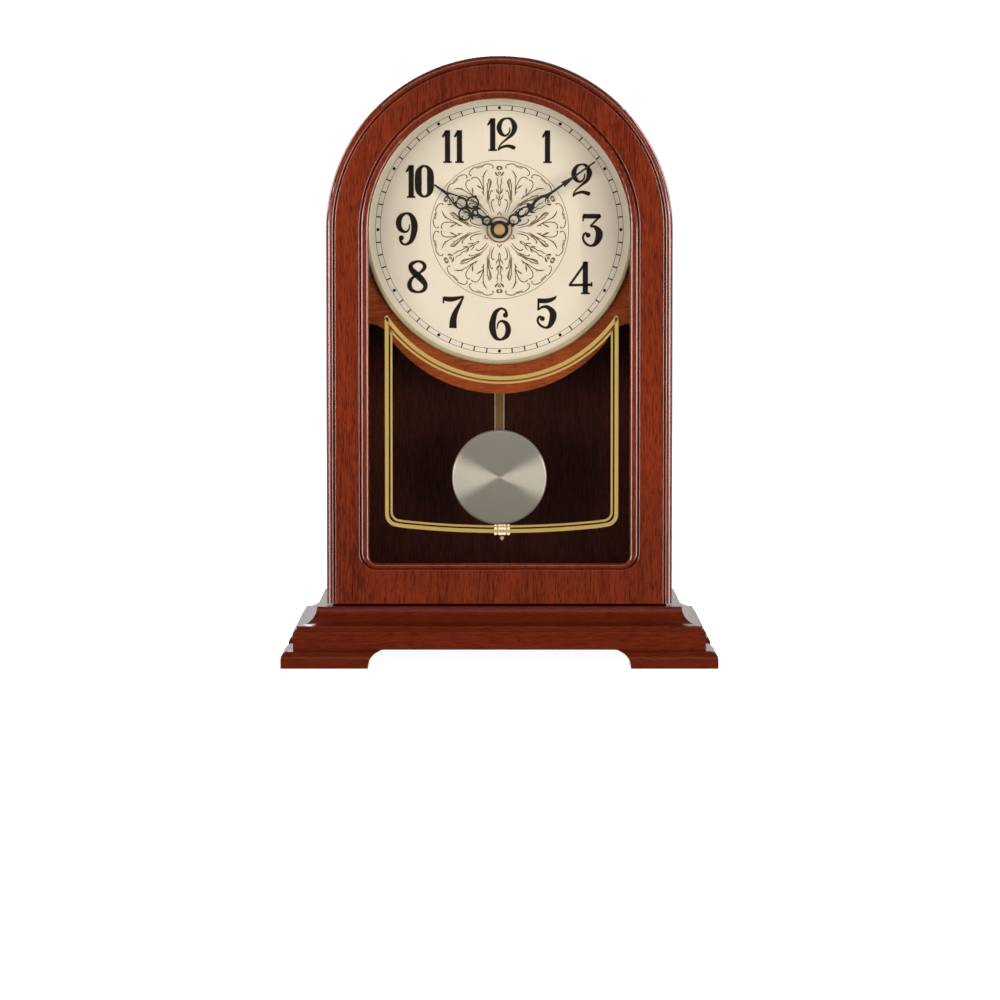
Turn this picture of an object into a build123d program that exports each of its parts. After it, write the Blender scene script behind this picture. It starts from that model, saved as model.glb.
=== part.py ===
from build123d import *
import os
from math import acos, cos, pi, radians, sin, sqrt, tan

# Desk pendulum clock: an arched wooden case on a moulded base, with a glazed front door, a round dial,
# a quartz step movement and a pendulum. Millimetres, +Z up, the front faces -Y.
# The origin is on the floor under the middle of the base.

# Clearances
RUN = 0.05  # a shaft in its hole, on the radius
FIT = 0.03  # a screw, pin or hub pressed in its hole, on the radius
SEAT = 0.1  # a piece in its seat
PLAY = 0.3  # pieces of two bodies that pass each other
OVERCUT = 1.0  # how far a cut runs past the face that it opens

# Front door
DIAL_HEIGHT = 225.0  # centre of the dial and of every arch, above the floor
DOOR_WIDTH = 179.0
DOOR_THICKNESS = 15.0
DOOR_LIFT = 1.0  # gap under the door
DOOR_OVERHANG = 2.5  # how far the door stands out past the case side
RAIL_HEIGHT = 21.0  # bottom rail, up to the window
WINDOW_WIDTH = 134.8
WINDOW_CORNER = 4.0
EDGE_WIDTH = 4.4  # moulded outer edge
EDGE_ROUND = 2.2
BEAD_WIDTH = 4.8  # moulded inner edge
BEAD_ROUND = 1.45
QUIRK = 0.2  # groove between the flat face and each moulded edge
QUIRK_DEPTH = 1.5
SILL_WIDTH = 3.3  # moulded edge along the bottom of the window
FACE_STEP = 1.0  # how far the flat face stands out past both moulded edges
FACE_EASE = 0.5  # rounding of the flat face's edges
GLASS_SETBACK = 6.5
GLASS_THICKNESS = 2.0
GLASS_MARGIN = 4.5  # glass behind the frame, all round
RETAINER_WIDTH = 3.5
RETAINER_DEPTH = 4.0

# Base
BASE_DEPTH = 130.0
BASE_LEDGE = 4.8  # flat left on the base around the door
FOOT_HEIGHT = 8.9
FOOT_STEP = 6.2
FOOT_ROUND = 4.3
FOOT_LENGTH = 44.9
SIDE_FOOT_LENGTH = 38.0
ARCH_HEIGHT = 9.2
ARCH_ROUND = 8.6
FASCIA_HEIGHT = 9.9
FASCIA_ROUND = 0.8
TOE_HEIGHT = 0.9
TOE_STEP = 0.9
STRIP_STEP = 1.9  # set-back of the strip under the cove
STRIP_HEIGHT = 1.5
COVE_FLAT = 0.8
COVE_RADIUS = 9.3
PLINTH_DEPTH = 28.0
BACK_RAIL_DEPTH = 14.0
BOARD_INSET = 24.0

# Case
SHELL_WALL = 10.0
SHELL_INSET = 4.0  # case back, in from the back of the base
FLOOR_THICKNESS = 6.0
BACK_RECESS = 10.0
BACK_THICKNESS = 4.0
BACK_REBATE = 6.0
BACK_DOOR_WIDTH = 104.0
BACK_DOOR_HEIGHT = 112.0
BACK_DOOR_THICKNESS = 4.0
BACK_DOOR_LAP = 5.0
BACK_DOOR_RISE = 1.0  # middle of the back door above the middle of the movement

# Hinges and catches
HINGE_LENGTH = 24.0
HINGE_MARGIN = 4.0  # end of the back door to the nearer end of its hinge
HINGE_OUT = 0.3  # pin axis outside the case side
LEAF_WIDTH = 6.5
LEAF_THICKNESS = 0.8
KNUCKLE_RADIUS = 1.7
PIN_RADIUS = 0.8
HINGE_SCREW_LENGTH = 3.0
HINGE_SCREW_RADIUS = 0.75
HINGE_SCREW_HEAD = 1.3
HINGE_SCREW_SINK = 0.4
HINGE_SCREW_INSET = 5.0
FRONT_HINGE_RISE = 40.0  # lower front hinge above the door's bottom
BACK_EDGE_SET = 0.5  # edge of the back door, in from its hinge pin
MAGNET_RADIUS = 2.5
MAGNET_LENGTH = 3.0
STRIKE_THICKNESS = 1.2
CATCH_INSET = 6.0
KNOB_RADIUS = 4.5
KNOB_NECK = 2.4
KNOB_LENGTH = 7.0
KNOB_HEAD = 3.5

# Wood screws
SCREW_LENGTH = 14.0
SCREW_RADIUS = 1.5
SCREW_HEAD_RADIUS = 2.7
SCREW_HEAD_HEIGHT = 1.6
BASE_SCREW_SINK = 3.0
BASE_SCREW_X = 60.0
BASE_SCREW_SPAN = 50.0
BACK_SCREW_RISE = 24.0  # lowest back screws, above the base

# Dial and its panel
PANEL_SETBACK = 8.7
PANEL_THICKNESS = 6.0
LOBE_RADIUS = 70.9
LOBE_DROP = 14.5
SHOULDER_DROP = 49.0
CUSP_DROP = 2.7
SCALLOP_RADIUS = 13.6
CLEAT_WIDTH = 8.0
CLEAT_DEPTH = 10.0
DIAL_THICKNESS = 1.0
BEZEL_RADIUS = 70.1
BEZEL_LIP = 2.1
BEZEL_WALL = 1.0
BEZEL_HEIGHT = 2.0
NUT_RADIUS = 6.8
NUT_EDGE = 0.9
NUT_HEIGHT = 2.5
BUSH_RADIUS = 4.0
BUSH_PROUD = 0.7

# Hands, at rest at nine minutes past ten
MINUTE_ANGLE = 54.7
HOUR_ANGLE = 304.5
HAND_THICKNESS = 0.6
HANDS_APART = 1.8
MINUTE_LENGTH = 60.9
HOUR_LENGTH = 41.1
MINUTE_BOSS = 4.5
HOUR_BOSS = 4.7
HOUR_PIPE_RADIUS = 2.6
MINUTE_SHAFT_RADIUS = 1.7
SHAFT_PROUD = 1.4
CAP_RADIUS = 2.95
CAP_HEIGHT = 2.4

# Movement case and cells
WASHER_THICKNESS = 0.5
WASHER_RADIUS = 12.0
MOVEMENT_DEPTH = 26.0
MOVEMENT_FACE = 2.0
MOVEMENT_WALL = 1.6
MOVEMENT_ROUND = 3.0
MOVEMENT_ABOVE = 28.0
TRAIN_FLOOR = 18.6  # floor of the train chamber, under the dial's centre
CHANNEL_HALF = 15.2  # room for the pendulum hanger on each side of the middle
RIB = 1.2
CELL_RADIUS = 7.1
CELL_LENGTH = 49.2
NUB_RADIUS = 2.7
NUB_LENGTH = 1.2
CELL_ROOM = 0.4
CONTACT_ROOM = 0.9
CONTACT_THICKNESS = 0.4
CONTACT_WIDTH = 8.0
CONTACT_BUMP = 2.2

# Gears: module, tooth counts and bearings of each axis from the one before, in degrees
PRESSURE_ANGLE = 25.0
ADDENDUM = 0.8  # in modules
DEDENDUM = 1.05
BACKLASH = 0.12
MOTION_MODULE = 0.5
CANNON_TEETH = 12
MINUTE_TEETH = 36
MINUTE_PINION = 10
HOUR_TEETH = 40
SETTING_TEETH = 18
TRAIN_MODULE = 0.25
TRAIN_PINION = 10
CENTRE_TEETH = 80
THIRD_TEETH = 75
FOURTH_TEETH = 60
FIFTH_TEETH = 50
MINUTE_BEARING = -30.0
SETTING_BEARING = 10.0
THIRD_BEARING = 90.0
FOURTH_BEARING = 200.0
FIFTH_BEARING = 180.0
ROTOR_BEARING = 270.0
LAYER_START = 0.4
LAYER_PITCH = 2.0
TOOTH_WIDTH = 1.5
ARBOR_RADIUS = 0.6
CENTRE_ARBOR = 1.2
SETTING_ARBOR = 1.2
PIVOT_LENGTH = 1.0
BRIDGE_GAP = 0.8
BRIDGE_THICKNESS = 1.6
POST_RADIUS = 2.0
POST_INSET = 4.4
ROTOR_RADIUS = 2.9
STATOR_GAP = 0.4
STATOR_BAR = 2.0
STATOR_ARM = 4.5
COIL_RADIUS = 3.4
COIL_LENGTH = 13.5
COIL_DROP = 13.0  # middle of the step coil, under the dial's centre
BOARD_SIZE = (26.0, 14.0, 1.2)
SET_KNOB_RADIUS = 6.0
SET_KNOB_LENGTH = 4.0
SET_KNOB_FLUTES = 16
FLUTE_RADIUS = 0.6

# Pendulum
PIVOT_DROP = 25.5  # pivot under the dial's centre
PIVOT_RADIUS = 1.5
SHOULDER_RADIUS = 2.6
HANGER_SETBACK = 12.0
HANGER_THICKNESS = 4.0
HANGER_WIDTH = 5.0
HANGER_EYE = 3.6
HANGER_LENGTH = 56.5
DRIVE_DROP = 32.0  # magnet and drive coil under the pivot
DRIVE_MAGNET_RADIUS = 3.5
DRIVE_MAGNET_LENGTH = 3.0
DRIVE_BOSS = 4.6
DRIVE_COIL_RADIUS = 9.0
DRIVE_COIL_DEPTH = 7.5
DRIVE_CORE_RADIUS = 2.5
DRIVE_GAP = 1.5
STUD_RADIUS = 1.2
STUD_HEAD = 2.2
STUD_HEAD_LENGTH = 0.6
ROD_WIDTH = 5.3
ROD_THICKNESS = 1.2
ROD_BEVEL = 0.75
ROD_ABOVE = 4.0  # rod above its stud
BOB_DROP = 104.5  # bob's centre under the pivot
BOB_RADIUS = 25.0
BOB_DEPTH = 5.8
BOB_WALL = 0.8
BOB_EDGE = 1.2
ROD_TAIL = 12.0  # rod below the bob's centre

# Widths, heights and depths that follow from the sizes
PLINTH_HEIGHT = FOOT_HEIGHT + FASCIA_HEIGHT
STRIP_IN = FOOT_STEP + STRIP_STEP
COVE_BOTTOM = PLINTH_HEIGHT + TOE_HEIGHT + STRIP_HEIGHT
BASE_TOP = COVE_BOTTOM + COVE_RADIUS
MOULDING_RUN = STRIP_IN + COVE_FLAT + COVE_RADIUS
BASE_HALF = DOOR_WIDTH / 2 + BASE_LEDGE + MOULDING_RUN
BASE_FRONT = -BASE_DEPTH / 2
BASE_BACK = BASE_DEPTH / 2
DOOR_FRONT = BASE_FRONT + MOULDING_RUN + BASE_LEDGE
DOOR_BACK = DOOR_FRONT + DOOR_THICKNESS
DOOR_BOTTOM = BASE_TOP + DOOR_LIFT
WINDOW_BOTTOM = DOOR_BOTTOM + RAIL_HEIGHT
GLASS_FRONT = DOOR_FRONT + GLASS_SETBACK
GLASS_BACK = GLASS_FRONT + GLASS_THICKNESS
SHELL_HALF = DOOR_WIDTH / 2 - DOOR_OVERHANG
SHELL_IN = SHELL_HALF - SHELL_WALL
SHELL_FRONT = DOOR_BACK + PLAY
SHELL_BACK = BASE_BACK - SHELL_INSET
BACK_REAR = SHELL_BACK - BACK_RECESS
BACK_FRONT = BACK_REAR - BACK_THICKNESS
BACK_DOOR_FRONT = BACK_REAR + PLAY
BACK_DOOR_REAR = BACK_DOOR_FRONT + BACK_DOOR_THICKNESS
PANEL_FRONT = SHELL_FRONT + PANEL_SETBACK
PANEL_BACK = PANEL_FRONT + PANEL_THICKNESS
DIAL_FRONT = PANEL_FRONT - DIAL_THICKNESS
NUT_FRONT = DIAL_FRONT - NUT_HEIGHT
BUSH_FRONT = NUT_FRONT - BUSH_PROUD
HOUR_HAND_BACK = BUSH_FRONT - PLAY
HOUR_HAND_FRONT = HOUR_HAND_BACK - HAND_THICKNESS
MINUTE_HAND_BACK = HOUR_HAND_FRONT - HANDS_APART
MINUTE_HAND_FRONT = MINUTE_HAND_BACK - HAND_THICKNESS
MINUTE_SHAFT_FRONT = MINUTE_HAND_FRONT - SHAFT_PROUD
MOVEMENT_FRONT = PANEL_BACK + WASHER_THICKNESS
MOVEMENT_INNER = MOVEMENT_FRONT + MOVEMENT_FACE
MOVEMENT_BACK = MOVEMENT_FRONT + MOVEMENT_DEPTH
COVER_FRONT = MOVEMENT_BACK - MOVEMENT_WALL
BAY_WIDTH = 2 * (CELL_RADIUS + CELL_ROOM)
BAY_LENGTH = CELL_LENGTH + NUB_LENGTH + 2 * CONTACT_ROOM
BAY_X = CHANNEL_HALF + RIB + BAY_WIDTH / 2
BAY_TOP = -TRAIN_FLOOR - MOVEMENT_WALL
BAY_BOTTOM = BAY_TOP - BAY_LENGTH
MOVEMENT_IN = CHANNEL_HALF + RIB + BAY_WIDTH
MOVEMENT_HALF = MOVEMENT_IN + MOVEMENT_WALL
MOVEMENT_BELOW = -BAY_BOTTOM + MOVEMENT_WALL
MOVEMENT_MIDDLE = (MOVEMENT_ABOVE - MOVEMENT_BELOW) / 2
CELL_AXIS = MOVEMENT_BACK - CELL_ROOM - CELL_RADIUS
LAYERS = [
    (MOVEMENT_INNER + LAYER_START + i * LAYER_PITCH,
     MOVEMENT_INNER + LAYER_START + i * LAYER_PITCH + TOOTH_WIDTH)
    for i in range(7)
]
BRIDGE_FRONT = LAYERS[6][1] + BRIDGE_GAP
BRIDGE_BACK = BRIDGE_FRONT + BRIDGE_THICKNESS
HOUR_MODULE = MOTION_MODULE * (CANNON_TEETH + MINUTE_TEETH) / (MINUTE_PINION + HOUR_TEETH)
PIVOT_HEIGHT = DIAL_HEIGHT - PIVOT_DROP
HANGER_FRONT = MOVEMENT_INNER + HANGER_SETBACK
HANGER_BACK = HANGER_FRONT + HANGER_THICKNESS
ROD_BACK = HANGER_FRONT - PLAY
ROD_FRONT = ROD_BACK - ROD_THICKNESS
STUD_HEIGHT = PIVOT_HEIGHT - HANGER_LENGTH
BOB_HEIGHT = PIVOT_HEIGHT - BOB_DROP
BOB_FRONT = ROD_FRONT - BOB_DEPTH


# Shapes used by several pieces


def block(x, y, z):
    """A box between two limits on each axis."""
    middle = Pos((x[0] + x[1]) / 2, (y[0] + y[1]) / 2, (z[0] + z[1]) / 2)
    return middle * Box(x[1] - x[0], y[1] - y[0], z[1] - z[0])


def slab(outline, front, back):
    """An outline drawn as seen from the front, made solid between two depths."""
    return Pos(0, back, 0) * Rot(90, 0, 0) * extrude(outline, back - front, dir=(0, 0, 1))


def peg(x, z, radius, front, back):
    """A round bar along the depth of the clock."""
    return slab(Pos(x, z) * Circle(radius), front, back)


def polygon(*points):
    """A flat face inside a closed run of straight lines."""
    return make_face(Polyline(*points, close=True).edges())


def arch(half, bottom):
    """Straight sides under a half-round top about the dial's centre."""
    sides = Pos(0, (bottom + DIAL_HEIGHT) / 2) * Rectangle(2 * half, DIAL_HEIGHT - bottom)
    return sides + Pos(0, DIAL_HEIGHT) * Circle(half)


def window(margin, sill=None):
    """The door's window, grown by a margin all round, or by another one at the sill."""
    outline = arch(WINDOW_WIDTH / 2 + margin, WINDOW_BOTTOM - (margin if sill is None else sill))
    return fillet(outline.vertices().group_by(Axis.Y)[0], WINDOW_CORNER + margin)


def wood_screw(grow=0.0, sink=0.0):
    """A screw along +Z with its head's face at zero; grown and sunk, it cuts the screw's own hole."""
    shank = block_cylinder(SCREW_RADIUS + grow, 0, SCREW_LENGTH + grow)
    return shank + block_cylinder(SCREW_HEAD_RADIUS + grow, -sink, SCREW_HEAD_HEIGHT + grow)


def block_cylinder(radius, low, high):
    """A round bar along Z between two heights."""
    return Pos(0, 0, (low + high) / 2) * Cylinder(radius, high - low)


def save(node, *shapes):
    """Write the solids of one node."""
    solids = [solid for shape in shapes for solid in shape.solids()]
    export_step(solids[0] if len(solids) == 1 else Compound(solids), f"parts/{node}.step")


# Base


def mitred(profile, depth):
    """Front, right and left lengths of a moulding, mitred at the two front corners.

    The profile's x is the distance in from the outer face of the base and its y is the height.
    """
    front_plane = Plane((-BASE_HALF, BASE_FRONT, 0), x_dir=(0, 1, 0), z_dir=(1, 0, 0))
    side_plane = Plane((BASE_HALF, BASE_FRONT, 0), x_dir=(-1, 0, 0), z_dir=(0, 1, 0))
    corner = (BASE_HALF - depth, BASE_FRONT + depth)
    front_plan = polygon((-BASE_HALF, BASE_FRONT), (BASE_HALF, BASE_FRONT), corner, (-corner[0], corner[1]))
    side_plan = polygon((BASE_HALF, BASE_FRONT), (BASE_HALF, BASE_BACK), (corner[0], BASE_BACK), corner)
    across = front_plane.location * extrude(profile, 2 * BASE_HALF, dir=(0, 0, 1))
    along = side_plane.location * extrude(profile, BASE_DEPTH, dir=(0, 0, 1))
    front = across & extrude(front_plan, BASE_TOP, dir=(0, 0, 1))
    right = along & extrude(side_plan, BASE_TOP, dir=(0, 0, 1))
    return front, right, mirror(right, about=Plane.YZ)


def plinth_profile():
    """A foot with a rounded top edge under an upright fascia."""
    fascia_top = (FOOT_STEP + FASCIA_ROUND, PLINTH_HEIGHT)
    edges = [
        Line((0, 0), (0, FOOT_HEIGHT - FOOT_ROUND)),
        CenterArc((FOOT_ROUND, FOOT_HEIGHT - FOOT_ROUND), FOOT_ROUND, 90, 90),
        Line((FOOT_ROUND, FOOT_HEIGHT), (FOOT_STEP, FOOT_HEIGHT)),
        Line((FOOT_STEP, FOOT_HEIGHT), (FOOT_STEP, PLINTH_HEIGHT - FASCIA_ROUND)),
        CenterArc((fascia_top[0], PLINTH_HEIGHT - FASCIA_ROUND), FASCIA_ROUND, 90, 90),
        Line(fascia_top, (PLINTH_DEPTH, PLINTH_HEIGHT)),
        Line((PLINTH_DEPTH, PLINTH_HEIGHT), (PLINTH_DEPTH, 0)),
        Line((PLINTH_DEPTH, 0), (0, 0)),
    ]
    return make_face(edges)


def cove_profile():
    """A small toe and an upright strip under a hollow quarter round."""
    toe_in = STRIP_IN - TOE_STEP
    toe_top = PLINTH_HEIGHT + TOE_HEIGHT
    cove_in = STRIP_IN + COVE_FLAT
    edges = [
        Line((toe_in, PLINTH_HEIGHT), (toe_in, toe_top)),
        Line((toe_in, toe_top), (STRIP_IN, toe_top)),
        Line((STRIP_IN, toe_top), (STRIP_IN, COVE_BOTTOM)),
        Line((STRIP_IN, COVE_BOTTOM), (cove_in, COVE_BOTTOM)),
        CenterArc((cove_in, BASE_TOP), COVE_RADIUS, 270, 90),
        Line((MOULDING_RUN, BASE_TOP), (BOARD_INSET, BASE_TOP)),
        Line((BOARD_INSET, BASE_TOP), (BOARD_INSET, PLINTH_HEIGHT)),
        Line((BOARD_INSET, PLINTH_HEIGHT), (toe_in, PLINTH_HEIGHT)),
    ]
    return make_face(edges)


def foot_gap(width, outer):
    """The arched gap between two feet, cut through a plinth whose outer face is at this depth."""
    outline = Rectangle(width, 2 * ARCH_HEIGHT)
    outline = fillet(outline.vertices().group_by(Axis.Y)[-1], ARCH_ROUND)
    return slab(outline, outer - OVERCUT, outer + PLINTH_DEPTH + OVERCUT)


def base_screw_places():
    """Four screws driven up through the base board into the case floor."""
    middle = (SHELL_FRONT + BACK_FRONT) / 2
    for x in (-BASE_SCREW_X, BASE_SCREW_X):
        for y in (middle - BASE_SCREW_SPAN / 2, middle + BASE_SCREW_SPAN / 2):
            yield Pos(x, y, PLINTH_HEIGHT + BASE_SCREW_SINK)


def make_base():
    front, right, left = mitred(plinth_profile(), PLINTH_DEPTH)
    side_gap = Rot(0, 0, 90) * foot_gap(BASE_DEPTH - 2 * SIDE_FOOT_LENGTH, -BASE_HALF)
    save("plinth_front", front - foot_gap(2 * (BASE_HALF - FOOT_LENGTH), BASE_FRONT))
    save("plinth_right", right - side_gap)
    save("plinth_left", left - mirror(side_gap, about=Plane.YZ))
    inner = BASE_HALF - PLINTH_DEPTH
    save(
        "plinth_back",
        block((-inner, inner), (BASE_BACK - BACK_RAIL_DEPTH, BASE_BACK), (ARCH_HEIGHT, PLINTH_HEIGHT)),
    )
    for side, piece in zip(("front", "right", "left"), mitred(cove_profile(), BOARD_INSET)):
        save(f"cove_{side}", piece)
    half = BASE_HALF - BOARD_INSET
    board = block((-half, half), (BASE_FRONT + BOARD_INSET, BASE_BACK), (PLINTH_HEIGHT, BASE_TOP))
    floor_half = SHELL_IN - SEAT
    floor = block(
        (-floor_half, floor_half), (SHELL_FRONT, BACK_FRONT - SEAT), (BASE_TOP, BASE_TOP + FLOOR_THICKNESS)
    )
    holes = [place * wood_screw(FIT, BASE_SCREW_SINK + OVERCUT) for place in base_screw_places()]
    save("base_board", board - holes)
    save("case_floor", floor - holes)


# Hinges and catches


def hinge_screw_places(side):
    """Two screws of one leaf, driven away from the gap: side is -1 on the door and 1 on the case."""
    x = (KNUCKLE_RADIUS + PLAY + LEAF_WIDTH) / 2
    z = HINGE_LENGTH / 2 - HINGE_SCREW_INSET
    for height in (-z, z):
        yield Pos(x, side * PLAY / 2, height) * Rot(-90 * side, 0, 0)


def hinge_screw(grow=0.0):
    """A flat-headed screw along +Z with its head's face at zero; grown, it cuts its own hole."""
    shank = block_cylinder(HINGE_SCREW_RADIUS + grow, 0, HINGE_SCREW_LENGTH + grow)
    return shank + block_cylinder(HINGE_SCREW_HEAD + grow, -grow, HINGE_SCREW_SINK + grow)


def hinge_leaf(side):
    """A leaf with its knuckles about the Z axis: the door's has the middle one, the case's the others."""
    near, far = side * PLAY / 2, side * (PLAY / 2 + LEAF_THICKNESS)
    depth = (min(near, far), max(near, far))
    start = KNUCKLE_RADIUS + PLAY
    end = HINGE_LENGTH / 2
    middle = HINGE_LENGTH / 6
    spans = [(SEAT - middle, middle - SEAT)] if side < 0 else [(-end, -middle - SEAT), (middle + SEAT, end)]
    leaf = block((start, LEAF_WIDTH), depth, (-end, end))
    for span in spans:
        leaf += block((0, start), depth, span) + block_cylinder(KNUCKLE_RADIUS, *span)
    bore = RUN if side < 0 else FIT
    holes = [place * hinge_screw(FIT) for place in hinge_screw_places(side)]
    return leaf - [block_cylinder(PIN_RADIUS + bore, -end, end), *holes]


def hinge_recess(side):
    """What a door or a case loses to one hinge: a shallow seat, room for the knuckles, and screw holes."""
    end = HINGE_LENGTH / 2 + SEAT
    far = side * (PLAY / 2 + LEAF_THICKNESS + SEAT)
    seat = block((0, LEAF_WIDTH + SEAT), (min(0, far), max(0, far)), (-end, end))
    holes = [place * hinge_screw(FIT) for place in hinge_screw_places(side)]
    return seat + [block_cylinder(KNUCKLE_RADIUS + PLAY, -end, end), *holes]


def front_hinges():
    """Places of the two front hinges, on the left of the case."""
    x = -(SHELL_HALF + HINGE_OUT)
    for z in (DOOR_BOTTOM + FRONT_HINGE_RISE, DIAL_HEIGHT - HINGE_LENGTH):
        yield Pos(x, (DOOR_BACK + SHELL_FRONT) / 2, z)


def back_door_middle():
    return DIAL_HEIGHT + MOVEMENT_MIDDLE + BACK_DOOR_RISE


def back_hinges():
    """Places of the two back hinges, on the right of the back door as seen from the front."""
    reach = BACK_DOOR_HEIGHT / 2 - HINGE_LENGTH / 2 - HINGE_MARGIN
    for z in (back_door_middle() - reach, back_door_middle() + reach):
        yield Pos(BACK_DOOR_WIDTH / 2 + BACK_EDGE_SET, (BACK_REAR + BACK_DOOR_FRONT) / 2, z) * Rot(0, 0, 180)


def front_catch():
    """Place of the front catch, in the case's right edge."""
    return SHELL_HALF - SHELL_WALL / 2, (DOOR_BOTTOM + DIAL_HEIGHT) / 2


def back_catch():
    """Place of the back catch, near the back door's free edge."""
    return -(BACK_DOOR_WIDTH / 2 - BACK_DOOR_LAP / 2), back_door_middle()


def make_hinges():
    places = [*front_hinges(), *back_hinges()]
    save("hinge_case_leaves", *[place * hinge_leaf(1) for place in places])
    save("hinge_pins", *[place * Cylinder(PIN_RADIUS, HINGE_LENGTH) for place in places])
    save("hinge_case_screws", *[p * s * hinge_screw() for p in places for s in hinge_screw_places(1)])
    for door, doors in (("front", front_hinges()), ("back", back_hinges())):
        doors = list(doors)
        save(f"{door}_door_hinge_leaves", *[place * hinge_leaf(-1) for place in doors])
        screws = [place * spot * hinge_screw() for place in doors for spot in hinge_screw_places(-1)]
        save(f"{door}_door_hinge_screws", *screws)


def make_catches():
    front, back = front_catch(), back_catch()
    save(
        "catch_magnets",
        peg(*front, MAGNET_RADIUS, SHELL_FRONT, SHELL_FRONT + MAGNET_LENGTH),
        peg(*back, MAGNET_RADIUS, BACK_REAR - MAGNET_LENGTH, BACK_REAR),
    )
    save("front_door_strike", peg(*front, MAGNET_RADIUS, DOOR_BACK - STRIKE_THICKNESS, DOOR_BACK))
    save(
        "back_door_strike",
        peg(*back, MAGNET_RADIUS, BACK_DOOR_FRONT, BACK_DOOR_FRONT + STRIKE_THICKNESS),
    )


# Case


def back_screw_places():
    """Screws round the edge of the back panel, driven forwards into the case's rebate."""
    run = SHELL_IN + BACK_REBATE / 2
    low = BASE_TOP + BACK_SCREW_RISE
    for side in (-1, 1):
        for z in (low, (low + DIAL_HEIGHT) / 2, DIAL_HEIGHT):
            yield Pos(side * run, BACK_REAR, z) * Rot(90, 0, 0)
        yield Pos(side * run * sin(pi / 6), BACK_REAR, DIAL_HEIGHT + run * cos(pi / 6)) * Rot(90, 0, 0)


def panel_screw_places():
    """Two screws into each cleat of the dial panel, driven backwards."""
    x = SHELL_IN - CLEAT_WIDTH / 2
    shoulder = DIAL_HEIGHT - SHOULDER_DROP
    for side in (-1, 1):
        for share in (0.25, 0.75):
            yield Pos(side * x, PANEL_FRONT, shoulder + share * SHOULDER_DROP) * Rot(-90, 0, 0)


def make_case():
    shell = slab(arch(SHELL_HALF, BASE_TOP) - arch(SHELL_IN, BASE_TOP), SHELL_FRONT, SHELL_BACK)
    rebate = slab(arch(SHELL_IN + BACK_REBATE, BASE_TOP), BACK_FRONT, SHELL_BACK)
    catch = peg(*front_catch(), MAGNET_RADIUS + FIT, SHELL_FRONT, SHELL_FRONT + MAGNET_LENGTH + FIT)
    back_holes = [place * wood_screw(FIT, OVERCUT) for place in back_screw_places()]
    seats = [place * hinge_recess(1) for place in front_hinges()]
    save("case_shell", shell - [rebate, catch, *back_holes, *seats])

    panel = slab(arch(SHELL_IN + BACK_REBATE - SEAT, BASE_TOP), BACK_FRONT, BACK_REAR)
    hole = Pos(0, back_door_middle()) * Rectangle(
        BACK_DOOR_WIDTH - 2 * BACK_DOOR_LAP, BACK_DOOR_HEIGHT - 2 * BACK_DOOR_LAP
    )
    catch = peg(*back_catch(), MAGNET_RADIUS + FIT, BACK_REAR - MAGNET_LENGTH - FIT, BACK_REAR)
    seats = [place * hinge_recess(1) for place in back_hinges()]
    save("back_panel", panel - [slab(hole, BACK_FRONT, BACK_REAR), catch, *back_holes, *seats])

    door = slab(
        Pos(0, back_door_middle()) * Rectangle(BACK_DOOR_WIDTH, BACK_DOOR_HEIGHT),
        BACK_DOOR_FRONT, BACK_DOOR_REAR,
    )
    strike = peg(
        *back_catch(), MAGNET_RADIUS + FIT, BACK_DOOR_FRONT, BACK_DOOR_FRONT + STRIKE_THICKNESS + FIT
    )
    knob_x = -(BACK_DOOR_WIDTH / 2 - BACK_DOOR_LAP - CATCH_INSET)
    spigot = peg(knob_x, back_door_middle(), KNOB_NECK + FIT, BACK_DOOR_FRONT, BACK_DOOR_REAR)
    seats = [place * hinge_recess(-1) for place in back_hinges()]
    save("back_door", door - [strike, spigot, *seats])

    knob = peg(knob_x, back_door_middle(), KNOB_NECK, BACK_DOOR_FRONT + PLAY, BACK_DOOR_REAR + KNOB_LENGTH)
    head = peg(
        knob_x, back_door_middle(), KNOB_RADIUS,
        BACK_DOOR_REAR + KNOB_LENGTH - KNOB_HEAD, BACK_DOOR_REAR + KNOB_LENGTH,
    )
    head = fillet(head.edges().filter_by(GeomType.CIRCLE), KNOB_HEAD / 3)
    save("back_door_knob", knob + head)

    places = [*base_screw_places(), *back_screw_places(), *panel_screw_places()]
    screws = [place * wood_screw() for place in places]
    save("case_screws", *screws)


# Front door


def reach(edge):
    """How far the ends of an edge stand from the middle of the clock."""
    return max(abs((edge @ end).X) for end in (0, 1))


def bead_edges(frame):
    """Edges of the foremost faces, without those at the foot of the door."""
    edges = frame.faces().group_by(Axis.Y)[0].edges()
    return [edge for edge in edges if edge.center().Z > DOOR_BOTTOM + DOOR_LIFT]


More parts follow.
